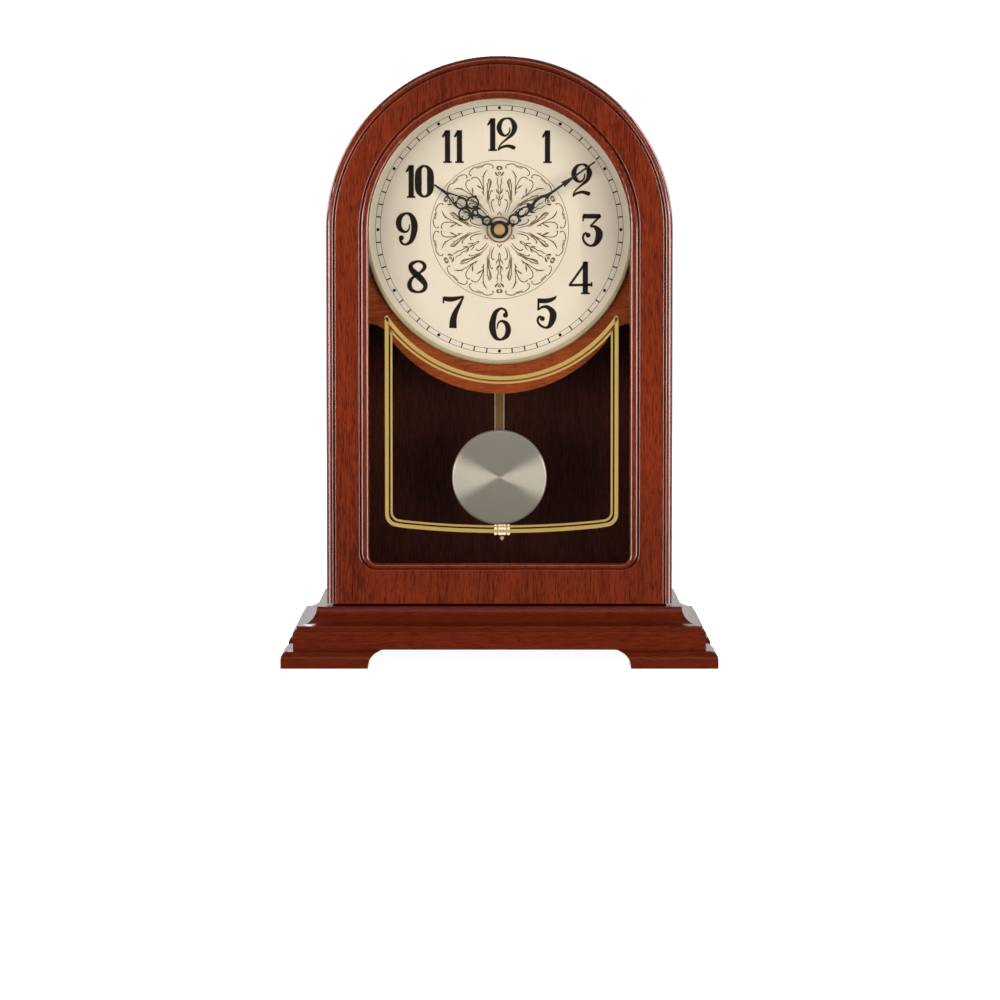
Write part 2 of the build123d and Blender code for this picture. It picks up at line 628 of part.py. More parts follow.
def make_front_door():
    half = DOOR_WIDTH / 2
    bead_front = DOOR_FRONT + FACE_STEP
    frame = slab(arch(half, DOOR_BOTTOM) - window(0), bead_front, DOOR_BACK)
    sunk = arch(half - EDGE_WIDTH + QUIRK, DOOR_BOTTOM) - window(BEAD_WIDTH - QUIRK, SILL_WIDTH - QUIRK)
    frame -= slab(sunk, bead_front, bead_front + QUIRK_DEPTH)
    frame = fillet([edge for edge in bead_edges(frame) if reach(edge) < half - QUIRK], BEAD_ROUND)
    frame = fillet([edge for edge in bead_edges(frame) if reach(edge) > half - QUIRK], EDGE_ROUND)
    raised = arch(half - EDGE_WIDTH, DOOR_BOTTOM) - window(BEAD_WIDTH, SILL_WIDTH)
    raised = slab(raised, DOOR_FRONT, bead_front + QUIRK_DEPTH)
    face = raised.faces().sort_by(Axis.Y)[0]
    frame += fillet([edge for edge in face.edges() if edge.center().Z > DOOR_BOTTOM + DOOR_LIFT], FACE_EASE)
    rebate = slab(window(GLASS_MARGIN + SEAT), GLASS_FRONT, DOOR_BACK)
    strike = peg(*front_catch(), MAGNET_RADIUS + FIT, DOOR_BACK - STRIKE_THICKNESS - FIT, DOOR_BACK)
    seats = [place * hinge_recess(-1) for place in front_hinges()]
    save("front_door_frame", frame - [rebate, strike, *seats])
    save("front_glass", slab(window(GLASS_MARGIN), GLASS_FRONT, GLASS_BACK))
    ring = window(GLASS_MARGIN) - window(GLASS_MARGIN - RETAINER_WIDTH)
    save("glass_retainer", slab(ring, GLASS_BACK, GLASS_BACK + RETAINER_DEPTH))


# Dial and hands


def panel_outline():
    """An arched board with a round lobe below and a hollow scallop beside the lobe on each side."""
    half = SHELL_IN - SEAT
    shoulder = DIAL_HEIGHT - SHOULDER_DROP
    cusp = shoulder - CUSP_DROP
    lobe_centre = DIAL_HEIGHT - LOBE_DROP
    cusp_x = sqrt(LOBE_RADIUS**2 - (lobe_centre - cusp) ** 2)
    scallop_x = cusp_x + sqrt(SCALLOP_RADIUS**2 - (SCALLOP_RADIUS - CUSP_DROP) ** 2)
    fill = Pos(0, (cusp + shoulder) / 2) * Rectangle(2 * scallop_x, CUSP_DROP)
    outline = arch(half, shoulder) + Pos(0, lobe_centre) * Circle(LOBE_RADIUS) + fill
    scallop = Pos(scallop_x, shoulder - SCALLOP_RADIUS) * Circle(SCALLOP_RADIUS)
    return outline - scallop - mirror(scallop, about=Plane.YZ)


def make_dial():
    bush_hole = peg(0, DIAL_HEIGHT, BUSH_RADIUS + SEAT, DIAL_FRONT, MOVEMENT_FRONT)
    holes = [place * wood_screw(FIT, OVERCUT) for place in panel_screw_places()]
    save("dial_panel", slab(panel_outline(), PANEL_FRONT, PANEL_BACK) - [bush_hole, *holes])
    cleat = block(
        (SHELL_IN - CLEAT_WIDTH, SHELL_IN), (PANEL_BACK, PANEL_BACK + CLEAT_DEPTH),
        (DIAL_HEIGHT - SHOULDER_DROP, DIAL_HEIGHT),
    )
    save("dial_panel_cleats", *[piece - holes for piece in (cleat, mirror(cleat, about=Plane.YZ))])
    dial_radius = BEZEL_RADIUS - BEZEL_WALL - SEAT
    save("dial_plate", peg(0, DIAL_HEIGHT, dial_radius, DIAL_FRONT, PANEL_FRONT) - bush_hole)
    lip_back = DIAL_FRONT - SEAT
    lip_front = DIAL_FRONT - BEZEL_HEIGHT
    lip = peg(0, DIAL_HEIGHT, BEZEL_RADIUS, lip_front, lip_back)
    lip = fillet(lip.faces().sort_by(Axis.Y)[0].edges(), BEZEL_HEIGHT / 2)
    wall = peg(0, DIAL_HEIGHT, BEZEL_RADIUS, lip_back, PANEL_FRONT)
    inside = peg(0, DIAL_HEIGHT, BEZEL_RADIUS - BEZEL_WALL, lip_back, PANEL_FRONT)
    opening = peg(0, DIAL_HEIGHT, BEZEL_RADIUS - BEZEL_LIP, lip_front, lip_back)
    save("dial_bezel", (wall - inside) + (lip - opening))
    nut = peg(0, DIAL_HEIGHT, NUT_RADIUS, NUT_FRONT, DIAL_FRONT)
    nut = chamfer(nut.faces().sort_by(Axis.Y)[0].edges(), NUT_EDGE)
    save("dial_nut", nut - peg(0, DIAL_HEIGHT, BUSH_RADIUS + FIT, NUT_FRONT, DIAL_FRONT))
    washer = Pos(0, DIAL_HEIGHT) * (Circle(WASHER_RADIUS) - Circle(BUSH_RADIUS + SEAT))
    save("movement_washer", slab(washer, PANEL_BACK, MOVEMENT_FRONT))


def discs(places):
    """Discs at (across, along, radius) on a hand that points up."""
    return [Pos(across, along) * Circle(radius) for across, along, radius in places]


def hour_outline():
    """A spade hand: a pierced neck with cusps, a trefoil of rings, two leaves and a pierced spear."""
    wide = [(0, 0, HOUR_BOSS), (0, 7.9, 2.6), (0, 15.4, 1.9), (0, 20.4, 0.7)]
    wide += [(-3.6, 19.4, 3.45), (3.6, 19.4, 3.45), (0, 24.2, 3.25), (-7.1, 19.9, 0.75), (7.1, 19.9, 0.75)]
    pierced = [(0, 7.9, 1.6), (0, 15.4, 1.0), (-3.6, 19.4, 2.55), (3.6, 19.4, 2.55), (0, 24.1, 2.3)]
    stem = Pos(0, 7) * Rectangle(1.8, 14)
    flare = polygon(
        (0.9, 12.6), (0.95, 10.8), (3.0, 8.9), (2.3, 7.4),
        (-2.3, 7.4), (-3.0, 8.9), (-0.95, 10.8), (-0.9, 12.6),
    )
    spear = polygon(
        (3.0, 25.0), (2.8, 27.0), (0.8, 33.4), (0.45, HOUR_LENGTH),
        (-0.45, HOUR_LENGTH), (-0.8, 33.4), (-2.8, 27.0), (-3.0, 25.0),
    )
    eye = polygon((-1.95, 27.5), (0, 26.9), (1.95, 27.5), (0.3, 32.0), (-0.3, 32.0))
    leaf = polygon((2.1, 18.7), (3.3, 17.2), (3.8, 13.9), (1.6, 15.2), (1.2, 16.8))
    body = Sketch() + [*discs(wide), stem, flare, spear] - [*discs(pierced), eye]
    return body + leaf + mirror(leaf, about=Plane.YZ)


def minute_outline():
    """A long hand: two pierced rings, a knot, a bow to one side, a barbed arrow and a needle."""
    wide = [(0, 0, MINUTE_BOSS), (0.1, 9.2, 3.0), (0, 20.2, 1.8)]
    wide += [(2.3, 7.0, 0.8), (2.2, 11.4, 0.9), (-1.7, 12.3, 0.9), (1.95, 18.9, 0.8), (-1.8, 19.4, 0.8)]
    stem = Pos(0, 10) * Rectangle(1.8, 20)
    link = Pos(-0.3, 15.6) * Ellipse(2.4, 3.7)
    pierced = [Pos(0.2, 9.2) * Circle(2.0), Pos(-0.4, 15.7) * Ellipse(1.35, 2.7)]
    bow = polygon(
        (-0.9, 20.5), (-1.9, 22.8), (-2.2, 25.4), (-2.0, 28.0), (-1.1, 30.4), (-0.7, 32.4), (0.7, 32.4),
        (1.0, 30.8), (2.1, 29.6), (0.6, 29.3), (-0.4, 28.2), (-0.7, 26.0), (-0.4, 23.6), (0.9, 21.0),
    )
    needle = polygon(
        (0.72, 31.8), (0.55, 40.6), (1.65, 40.0), (0.55, 46.8), (0.42, MINUTE_LENGTH),
        (-0.42, MINUTE_LENGTH), (-0.55, 46.8), (-1.65, 40.0), (-0.55, 40.6), (-0.72, 31.8),
    )
    return Sketch() + [*discs(wide), stem, link, bow, needle] - pierced


def make_hands():
    centre = Pos(0, DIAL_HEIGHT)
    hour = centre * (Rot(0, 0, -HOUR_ANGLE) * hour_outline() - Circle(HOUR_PIPE_RADIUS + FIT))
    save("hour_hand", slab(hour, HOUR_HAND_FRONT, HOUR_HAND_BACK))
    minute = centre * (Rot(0, 0, -MINUTE_ANGLE) * minute_outline() - Circle(MINUTE_SHAFT_RADIUS + FIT))
    save("minute_hand", slab(minute, MINUTE_HAND_FRONT, MINUTE_HAND_BACK))
    cap = peg(0, DIAL_HEIGHT, CAP_RADIUS, MINUTE_HAND_FRONT - CAP_HEIGHT, MINUTE_HAND_FRONT)
    cap = fillet(cap.faces().sort_by(Axis.Y)[0].edges(), CAP_HEIGHT / 3)
    bore = peg(0, DIAL_HEIGHT, MINUTE_SHAFT_RADIUS + FIT, MINUTE_SHAFT_FRONT - FIT, MINUTE_HAND_FRONT)
    save("hand_nut", cap - bore)


# Gears


def polar(origin, bearing, distance):
    """A point at a bearing, in degrees from the right, and a distance from another."""
    return origin[0] + distance * cos(radians(bearing)), origin[1] + distance * sin(radians(bearing))


def gear(teeth, module, phase):
    """An involute gear outline with a tooth at the phase, in degrees from the right."""
    pitch = module * teeth / 2
    base = pitch * cos(radians(PRESSURE_ANGLE))
    root, tip = pitch - DEDENDUM * module, pitch + ADDENDUM * module
    half = (pi / 2 - BACKLASH) / teeth

    def half_angle(radius):
        """Half the tooth's angle at a radius: the involute above the base circle, radial under it."""
        slope = acos(min(1.0, base / radius))
        lead = radians(PRESSURE_ANGLE)
        return half + tan(lead) - lead - (tan(slope) - slope)

    radii = [root, max(base, root), pitch, (pitch + tip) / 2, tip]
    radii = radii if base > root else radii[1:]
    flank = [(radius, half_angle(radius)) for radius in radii]
    points = []
    for tooth in range(teeth):
        middle = radians(phase) + 2 * pi * tooth / teeth
        sides = [(r, middle - a) for r, a in flank] + [(r, middle + a) for r, a in reversed(flank)]
        points += [(r * cos(a), r * sin(a)) for r, a in sides]
    return polygon(*points)


def in_mesh(teeth, phase, bearing, other):
    """Phase of a gear at a bearing from another, with its space over the other's tooth."""
    turned = (bearing - phase) * teeth / 360
    return bearing + 180 - (0.5 - turned) * 360 / other


CENTRE = (0.0, 0.0)
MINUTE_AXIS = polar(CENTRE, MINUTE_BEARING, MOTION_MODULE * (CANNON_TEETH + MINUTE_TEETH) / 2)
SETTING_AXIS = polar(MINUTE_AXIS, SETTING_BEARING, MOTION_MODULE * (MINUTE_TEETH + SETTING_TEETH) / 2)
THIRD_AXIS = polar(CENTRE, THIRD_BEARING, TRAIN_MODULE * (CENTRE_TEETH + TRAIN_PINION) / 2)
FOURTH_AXIS = polar(THIRD_AXIS, FOURTH_BEARING, TRAIN_MODULE * (THIRD_TEETH + TRAIN_PINION) / 2)
FIFTH_AXIS = polar(FOURTH_AXIS, FIFTH_BEARING, TRAIN_MODULE * (FOURTH_TEETH + TRAIN_PINION) / 2)
ROTOR_AXIS = polar(FIFTH_AXIS, ROTOR_BEARING, TRAIN_MODULE * (FIFTH_TEETH + TRAIN_PINION) / 2)
ARBORS = (
    (MINUTE_AXIS, ARBOR_RADIUS),
    (SETTING_AXIS, SETTING_ARBOR),
    (THIRD_AXIS, ARBOR_RADIUS),
    (FOURTH_AXIS, ARBOR_RADIUS),
    (FIFTH_AXIS, ARBOR_RADIUS),
    (ROTOR_AXIS, ARBOR_RADIUS),
)


def bar(axis, radius, front, back):
    """A round bar on a gear's axis."""
    return peg(axis[0], DIAL_HEIGHT + axis[1], radius, front, back)


def toothed(axis, outline, front, back):
    return slab(Pos(axis[0], DIAL_HEIGHT + axis[1]) * outline, front, back)


def arbor(axis, radius=ARBOR_RADIUS, back=BRIDGE_FRONT + PIVOT_LENGTH):
    """A gear's arbor, from its pivot in the front of the case to its pivot in the bridge."""
    return bar(axis, radius, MOVEMENT_INNER - PIVOT_LENGTH, back)


def train_wheel(axis, layer, teeth, pinion_phase):
    """A wheel on its arbor with a pinion in the layer before it."""
    outline = gear(TRAIN_PINION, TRAIN_MODULE, pinion_phase)
    pinion = toothed(axis, outline, LAYERS[layer - 1][0], LAYERS[layer][0])
    return toothed(axis, gear(teeth, TRAIN_MODULE, 0), *LAYERS[layer]) + pinion + arbor(axis)


def make_gears():
    hour_phase = in_mesh(MINUTE_PINION, 0, MINUTE_BEARING + 180, HOUR_TEETH)
    hour = toothed(CENTRE, gear(HOUR_TEETH, HOUR_MODULE, hour_phase), *LAYERS[0])
    hour += bar(CENTRE, HOUR_PIPE_RADIUS, HOUR_HAND_FRONT, LAYERS[0][0])
    save("hour_wheel", hour - bar(CENTRE, MINUTE_SHAFT_RADIUS + RUN, HOUR_HAND_FRONT, LAYERS[0][1]))

    cannon = bar(CENTRE, MINUTE_SHAFT_RADIUS, MINUTE_SHAFT_FRONT, LAYERS[1][0])
    cannon += toothed(CENTRE, gear(CANNON_TEETH, MOTION_MODULE, 0), *LAYERS[1])
    save("cannon_pinion", cannon + bar(CENTRE, CENTRE_ARBOR, LAYERS[1][1], BRIDGE_FRONT + PIVOT_LENGTH))

    minute_phase = in_mesh(CANNON_TEETH, 0, MINUTE_BEARING, MINUTE_TEETH)
    minute = toothed(MINUTE_AXIS, gear(MINUTE_TEETH, MOTION_MODULE, minute_phase), *LAYERS[1])
    minute += toothed(MINUTE_AXIS, gear(MINUTE_PINION, HOUR_MODULE, 0), LAYERS[0][0], LAYERS[1][0])
    save("minute_wheel", minute + arbor(MINUTE_AXIS))

    setting_phase = in_mesh(MINUTE_TEETH, minute_phase, SETTING_BEARING, SETTING_TEETH)
    setting = toothed(SETTING_AXIS, gear(SETTING_TEETH, MOTION_MODULE, setting_phase), *LAYERS[1])
    knob_front = MOVEMENT_BACK + PLAY
    save("setting_wheel", setting + arbor(SETTING_AXIS, SETTING_ARBOR, knob_front + SET_KNOB_LENGTH / 2))
    bearings = [360 * i / SET_KNOB_FLUTES for i in range(SET_KNOB_FLUTES)]
    flutes = [Pos(*polar(CENTRE, bearing, SET_KNOB_RADIUS)) * Circle(FLUTE_RADIUS) for bearing in bearings]
    knob = toothed(SETTING_AXIS, Circle(SET_KNOB_RADIUS) - flutes, knob_front, knob_front + SET_KNOB_LENGTH)
    bore = bar(SETTING_AXIS, SETTING_ARBOR + FIT, knob_front, knob_front + SET_KNOB_LENGTH / 2 + FIT)
    save("setting_knob", knob - bore)

    centre = toothed(CENTRE, gear(CENTRE_TEETH, TRAIN_MODULE, 0), *LAYERS[2])
    save("centre_wheel", centre - bar(CENTRE, CENTRE_ARBOR + RUN, *LAYERS[2]))
    third_phase = in_mesh(CENTRE_TEETH, 0, THIRD_BEARING, TRAIN_PINION)
    save("third_wheel", train_wheel(THIRD_AXIS, 3, THIRD_TEETH, third_phase))
    fourth_phase = in_mesh(THIRD_TEETH, 0, FOURTH_BEARING, TRAIN_PINION)
    save("fourth_wheel", train_wheel(FOURTH_AXIS, 4, FOURTH_TEETH, fourth_phase))
    fifth_phase = in_mesh(FOURTH_TEETH, 0, FIFTH_BEARING, TRAIN_PINION)
    save("fifth_wheel", train_wheel(FIFTH_AXIS, 5, FIFTH_TEETH, fifth_phase))
    rotor_phase = in_mesh(FIFTH_TEETH, 0, ROTOR_BEARING, TRAIN_PINION)
    rotor = toothed(ROTOR_AXIS, gear(TRAIN_PINION, TRAIN_MODULE, rotor_phase), LAYERS[5][0], LAYERS[6][0])
    save("rotor", rotor + bar(ROTOR_AXIS, ROTOR_RADIUS, *LAYERS[6]) + arbor(ROTOR_AXIS))


# Movement


def movement_outline(inset):
    """The movement's outline from the front, drawn in by a wall."""
    width = 2 * (MOVEMENT_HALF - inset)
    height = MOVEMENT_ABOVE + MOVEMENT_BELOW - 2 * inset
    return Pos(0, DIAL_HEIGHT + MOVEMENT_MIDDLE) * RectangleRounded(width, height, MOVEMENT_ROUND - inset)


def stator_ends():
    """Left and right ends of the stator's bar, either side of the step coil."""
    half = COIL_LENGTH / 2 + SEAT + STATOR_ARM
    return ROTOR_AXIS[0] - half, ROTOR_AXIS[0] + half


def post_places():
    """Bridge posts at three corners of the train chamber, clear of the step coil."""
    x = MOVEMENT_IN - POST_INSET
    top = MOVEMENT_ABOVE - MOVEMENT_WALL - POST_INSET
    return (-x, top), (x, top), (x, POST_INSET + POST_RADIUS - TRAIN_FLOOR)


def make_movement():
    low, high = DIAL_HEIGHT + BAY_BOTTOM, DIAL_HEIGHT + BAY_TOP
    shelf = block((-MOVEMENT_IN, MOVEMENT_IN), (MOVEMENT_INNER, COVER_FRONT), (high, high + MOVEMENT_WALL))
    rib = block((CHANNEL_HALF, CHANNEL_HALF + RIB), (MOVEMENT_INNER, COVER_FRONT), (low, high))
    mouth = block((-CHANNEL_HALF, CHANNEL_HALF), (MOVEMENT_INNER, COVER_FRONT), (low - MOVEMENT_WALL, low))
    pin_end = COVER_FRONT + MOVEMENT_WALL / 2
    pin = peg(0, PIVOT_HEIGHT, PIVOT_RADIUS, MOVEMENT_INNER, pin_end)
    pin += peg(0, PIVOT_HEIGHT, SHOULDER_RADIUS, MOVEMENT_INNER, HANGER_FRONT - PLAY)
    drive_height = PIVOT_HEIGHT - DRIVE_DROP
    coil_back = HANGER_FRONT - DRIVE_GAP
    core = peg(0, drive_height, DRIVE_CORE_RADIUS, MOVEMENT_INNER, coil_back)
    collar = peg(0, drive_height, DRIVE_CORE_RADIUS + RIB, MOVEMENT_INNER, coil_back - DRIVE_COIL_DEPTH)
    rest = [bar((x, -COIL_DROP), STATOR_BAR / 2, MOVEMENT_INNER, LAYERS[6][0]) for x in stator_rests()]
    case = slab(movement_outline(0), MOVEMENT_FRONT, COVER_FRONT)
    case -= slab(movement_outline(MOVEMENT_WALL), MOVEMENT_INNER, COVER_FRONT)
    case += [shelf, rib, mirror(rib, about=Plane.YZ), pin, core, collar, *rest]
    case += bar(CENTRE, BUSH_RADIUS, BUSH_FRONT, MOVEMENT_FRONT)
    pivots = [bar(axis, r + RUN, MOVEMENT_INNER - PIVOT_LENGTH - RUN, MOVEMENT_INNER) for axis, r in ARBORS]
    case -= [mouth, bar(CENTRE, HOUR_PIPE_RADIUS + RUN, BUSH_FRONT, MOVEMENT_INNER), *pivots]
    save("movement_front_case", case)

    cover = slab(movement_outline(0), COVER_FRONT, MOVEMENT_BACK)
    cover += peg(0, PIVOT_HEIGHT, SHOULDER_RADIUS, HANGER_BACK + PLAY, COVER_FRONT)
    bays = [Pos(side * BAY_X, (low + high) / 2) * Rectangle(BAY_WIDTH, BAY_LENGTH) for side in (-1, 1)]
    pin_hole = peg(0, PIVOT_HEIGHT, PIVOT_RADIUS + SEAT, HANGER_BACK + PLAY, pin_end + SEAT)
    cover -= [slab(bay, COVER_FRONT, MOVEMENT_BACK) for bay in bays]
    arbor_hole = bar(SETTING_AXIS, SETTING_ARBOR + RUN, COVER_FRONT, MOVEMENT_BACK)
    save("movement_back_cover", cover - [pin_hole, arbor_hole])

    coil = Pos(0, drive_height) * (Circle(DRIVE_COIL_RADIUS) - Circle(DRIVE_CORE_RADIUS + SEAT))
    save("pendulum_coil", slab(coil, coil_back - DRIVE_COIL_DEPTH, coil_back))
    make_bridge()
    make_step_motor()
    make_cells(low, high)


def make_bridge():
    x = MOVEMENT_IN - POST_INSET + POST_RADIUS
    top = MOVEMENT_ABOVE - MOVEMENT_WALL - POST_INSET + POST_RADIUS
    foot = post_places()[2][1] - POST_RADIUS
    low = COIL_RADIUS + SEAT + POST_RADIUS - COIL_DROP
    plate = block((-x, x), (BRIDGE_FRONT, BRIDGE_BACK), (DIAL_HEIGHT + low, DIAL_HEIGHT + top))
    heights = (DIAL_HEIGHT + foot, DIAL_HEIGHT + top)
    plate += block((x - 2 * POST_RADIUS, x), (BRIDGE_FRONT, BRIDGE_BACK), heights)
    posts = [bar(place, POST_RADIUS, MOVEMENT_INNER, BRIDGE_FRONT) for place in post_places()]
    holes = [bar(axis, r + RUN, BRIDGE_FRONT, BRIDGE_BACK) for axis, r in (*ARBORS, (CENTRE, CENTRE_ARBOR))]
    save("train_bridge", plate + posts - holes)
    width, height, thickness = BOARD_SIZE
    board = Pos(0, DIAL_HEIGHT + top - height / 2) * Rectangle(width, height)
    save("circuit_board", slab(board, BRIDGE_BACK, BRIDGE_BACK + thickness))


def stator_rests():
    """Middles of the two pads that carry the ends of the stator's bar."""
    left, right = stator_ends()
    return left + STATOR_ARM / 2, right - STATOR_ARM / 2


def make_step_motor():
    left, right = stator_ends()
    front, back = LAYERS[6]
    bottom = -COIL_DROP - STATOR_BAR / 2
    top = ROTOR_AXIS[1] + ROTOR_RADIUS + STATOR_GAP + STATOR_BAR
    sill = ROTOR_AXIS[1] - ROTOR_RADIUS - STATOR_GAP - STATOR_BAR
    plate = block((left, right), (front, back), (DIAL_HEIGHT + bottom, DIAL_HEIGHT + top))
    gap = block(
        (left + STATOR_ARM, right - STATOR_ARM), (front, back),
        (DIAL_HEIGHT - COIL_DROP + STATOR_BAR / 2, DIAL_HEIGHT + sill),
    )
    save("stator", plate - [gap, bar(ROTOR_AXIS, ROTOR_RADIUS + STATOR_GAP, front, back)])
    middle = Pos(ROTOR_AXIS[0], (front + back) / 2, DIAL_HEIGHT - COIL_DROP)
    winding = middle * Rot(0, 90, 0) * Cylinder(COIL_RADIUS, COIL_LENGTH)
    core = middle * Box(COIL_LENGTH, back - front + 2 * FIT, STATOR_BAR + 2 * FIT)
    save("step_coil", winding - core)


def make_cells(low, high):
    """Two cells, head to tail, each between a flat contact and a bumped one."""
    cells, contacts = [], []
    for side in (-1, 1):
        place = Pos(side * BAY_X, CELL_AXIS, (low + high) / 2) * Rot(0, 0 if side < 0 else 180, 0)
        bottom = -(CELL_LENGTH + NUB_LENGTH) / 2
        top = bottom + CELL_LENGTH
        cell = block_cylinder(CELL_RADIUS, bottom, top) + block_cylinder(NUB_RADIUS, top, top + NUB_LENGTH)
        cells.append(place * cell)
        end = BAY_LENGTH / 2
        half = CONTACT_WIDTH / 2
        for direction in (-1, 1):
            plate = block((-half, half), (-half, half), (end - CONTACT_THICKNESS, end))
            bump = block_cylinder(CONTACT_BUMP, end - CONTACT_ROOM + FIT, end - CONTACT_THICKNESS)
            contacts.append(place * Rot(0, 0 if direction > 0 else 180, 0) * (plate + bump))
    save("battery_cells", *cells)
    save("battery_contacts", *contacts)


# Pendulum


def make_pendulum():
    drive_height = PIVOT_HEIGHT - DRIVE_DROP
    outline = Pos(0, PIVOT_HEIGHT) * Circle(HANGER_EYE) + Pos(0, drive_height) * Circle(DRIVE_BOSS)
    outline += Pos(0, PIVOT_HEIGHT - HANGER_LENGTH / 2) * Rectangle(HANGER_WIDTH, HANGER_LENGTH)
    outline += Pos(0, STUD_HEIGHT) * Circle(HANGER_WIDTH / 2)
    hanger = slab(outline, HANGER_FRONT, HANGER_BACK)
    hanger -= peg(0, PIVOT_HEIGHT, PIVOT_RADIUS + RUN, HANGER_FRONT, HANGER_BACK)
    magnet_back = HANGER_FRONT + DRIVE_MAGNET_LENGTH
    hanger -= peg(0, drive_height, DRIVE_MAGNET_RADIUS + FIT, HANGER_FRONT, magnet_back + FIT)
    head_back = ROD_FRONT - PLAY
    hanger += peg(0, STUD_HEIGHT, STUD_RADIUS, head_back, HANGER_FRONT)
    hanger += peg(0, STUD_HEIGHT, STUD_HEAD, head_back - STUD_HEAD_LENGTH, head_back)
    save("pendulum_hanger", hanger)
    save("pendulum_magnet", peg(0, drive_height, DRIVE_MAGNET_RADIUS, HANGER_FRONT, magnet_back))

    rod_top, rod_bottom = STUD_HEIGHT + ROD_ABOVE, BOB_HEIGHT - ROD_TAIL
    rod = block((-ROD_WIDTH / 2, ROD_WIDTH / 2), (ROD_FRONT, ROD_BACK), (rod_bottom, rod_top))
    edges = rod.edges().filter_by(Axis.Z).group_by(Axis.Y)[0]
    rod = chamfer(edges, ROD_BEVEL)
    save("pendulum_rod", rod - peg(0, STUD_HEIGHT, STUD_RADIUS + SEAT, ROD_FRONT, ROD_BACK))

    bob = peg(0, BOB_HEIGHT, BOB_RADIUS, BOB_FRONT, ROD_FRONT)
    bob = fillet(bob.faces().sort_by(Axis.Y)[0].edges(), BOB_EDGE)
    save("bob_face", bob - peg(0, BOB_HEIGHT, BOB_RADIUS - BOB_WALL, BOB_FRONT + BOB_WALL, ROD_FRONT))
    inner = BOB_RADIUS - BOB_WALL
    save("bob_weight", peg(0, BOB_HEIGHT, inner - SEAT, BOB_FRONT + BOB_WALL + SEAT, ROD_FRONT))


os.makedirs("parts", exist_ok=True)
make_base()
make_case()
make_hinges()
make_catches()
make_front_door()
make_dial()
make_hands()
make_gears()
make_movement()
make_pendulum()
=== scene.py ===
import bmesh
import bpy
import numpy as np
from bpy.props import FloatProperty, FloatVectorProperty, IntProperty, PointerProperty
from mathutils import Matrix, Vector


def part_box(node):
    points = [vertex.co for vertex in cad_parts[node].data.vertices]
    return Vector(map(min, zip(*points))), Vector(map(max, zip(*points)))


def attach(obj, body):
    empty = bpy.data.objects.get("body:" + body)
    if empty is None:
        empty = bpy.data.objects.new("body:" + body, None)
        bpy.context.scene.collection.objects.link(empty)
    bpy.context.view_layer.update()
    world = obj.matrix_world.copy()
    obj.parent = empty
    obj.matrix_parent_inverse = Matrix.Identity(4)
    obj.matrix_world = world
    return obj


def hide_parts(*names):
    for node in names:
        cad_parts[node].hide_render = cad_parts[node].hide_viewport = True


bl_info = {
    "name": "Desk pendulum clock",
    "version": (1, 0, 0),
    "blender": (4, 5, 0),
    "location": "View3D > Sidebar > Clock",
    "description": "Dresses an arched desk clock in veneer, enamel, gilt glass and brushed metal",
    "category": "Object",
}

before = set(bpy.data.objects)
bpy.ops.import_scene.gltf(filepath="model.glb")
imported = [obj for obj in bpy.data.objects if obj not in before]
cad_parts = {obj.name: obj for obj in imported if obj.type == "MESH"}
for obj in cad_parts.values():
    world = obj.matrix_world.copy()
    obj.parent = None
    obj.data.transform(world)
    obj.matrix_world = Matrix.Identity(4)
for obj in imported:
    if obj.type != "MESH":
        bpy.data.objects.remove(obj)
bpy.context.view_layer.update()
MM = 0.001
PRINT = 0.04 * MM  # thickness of a layer of printing ink, drawn thick enough to stand clear of its ground
DIAL_LOW, DIAL_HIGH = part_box("dial_plate")
DIAL_Z = (DIAL_LOW.z + DIAL_HIGH.z) / 2
GLASS_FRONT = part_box("front_glass")[0].y
BOB_LOW, BOB_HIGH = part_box("bob_face")
ACROSS, DEEP, UPRIGHT = 0, 1, 2  # axes that a grain can run along

# Gold lines on the glass, in millimetres: the middle between their uprights, the radius of the bowed sill,
# the height of the arc's centre and the middle of the clasp
LINE_MIDDLE, SILL_BOW, ARC_HEIGHT, CLASP_MIDDLE = 1.15, 480, 220.2, 1.35

# Soft lamps in pairs: place on the right in metres, width, height, and watts on the left and on the right
LAMP_PAIRS = (
    ((1.30, -1.86, 0.24), 1.3, 0.42, (13.7, 12.7)),
    ((1.30, -1.86, -0.055), 1.3, 0.15, (2.8, 2.8)),
    ((1.30, -1.86, -0.375), 1.3, 0.48, (8.5, 8.5)),
    ((2.0, 0.6, 1.0), 1.2, 1.2, (24.0, 24.0)),
    ((1.76, -1.48, 0.1), 0.15, 1.8, (13.0, 16.0)),
)
FRONT_LAMP = (0.0, -2.3, 0.95), 3.0, 0.8, 10.6
BACK_LAMP = (-0.5, 1.9, 1.5), 1.4, 0.8, 26.0
LAMP_AIM = Vector((0, 0, 0.16))
CAMERA_PLACE, CAMERA_AIM = Vector((0.0003, -2.345, 0.230)), Vector((0.0003, -0.042, 0.0854))
LENS, SENSOR = 160.55, 36.0  # millimetres


def linear(code):
    """An sRGB hex colour as linear red, green and blue."""
    srgb = np.array([int(code[i : i + 2], 16) for i in (1, 3, 5)]) / 255
    return tuple(np.where(srgb <= 0.04045, srgb / 12.92, ((srgb + 0.055) / 1.055) ** 2.4))


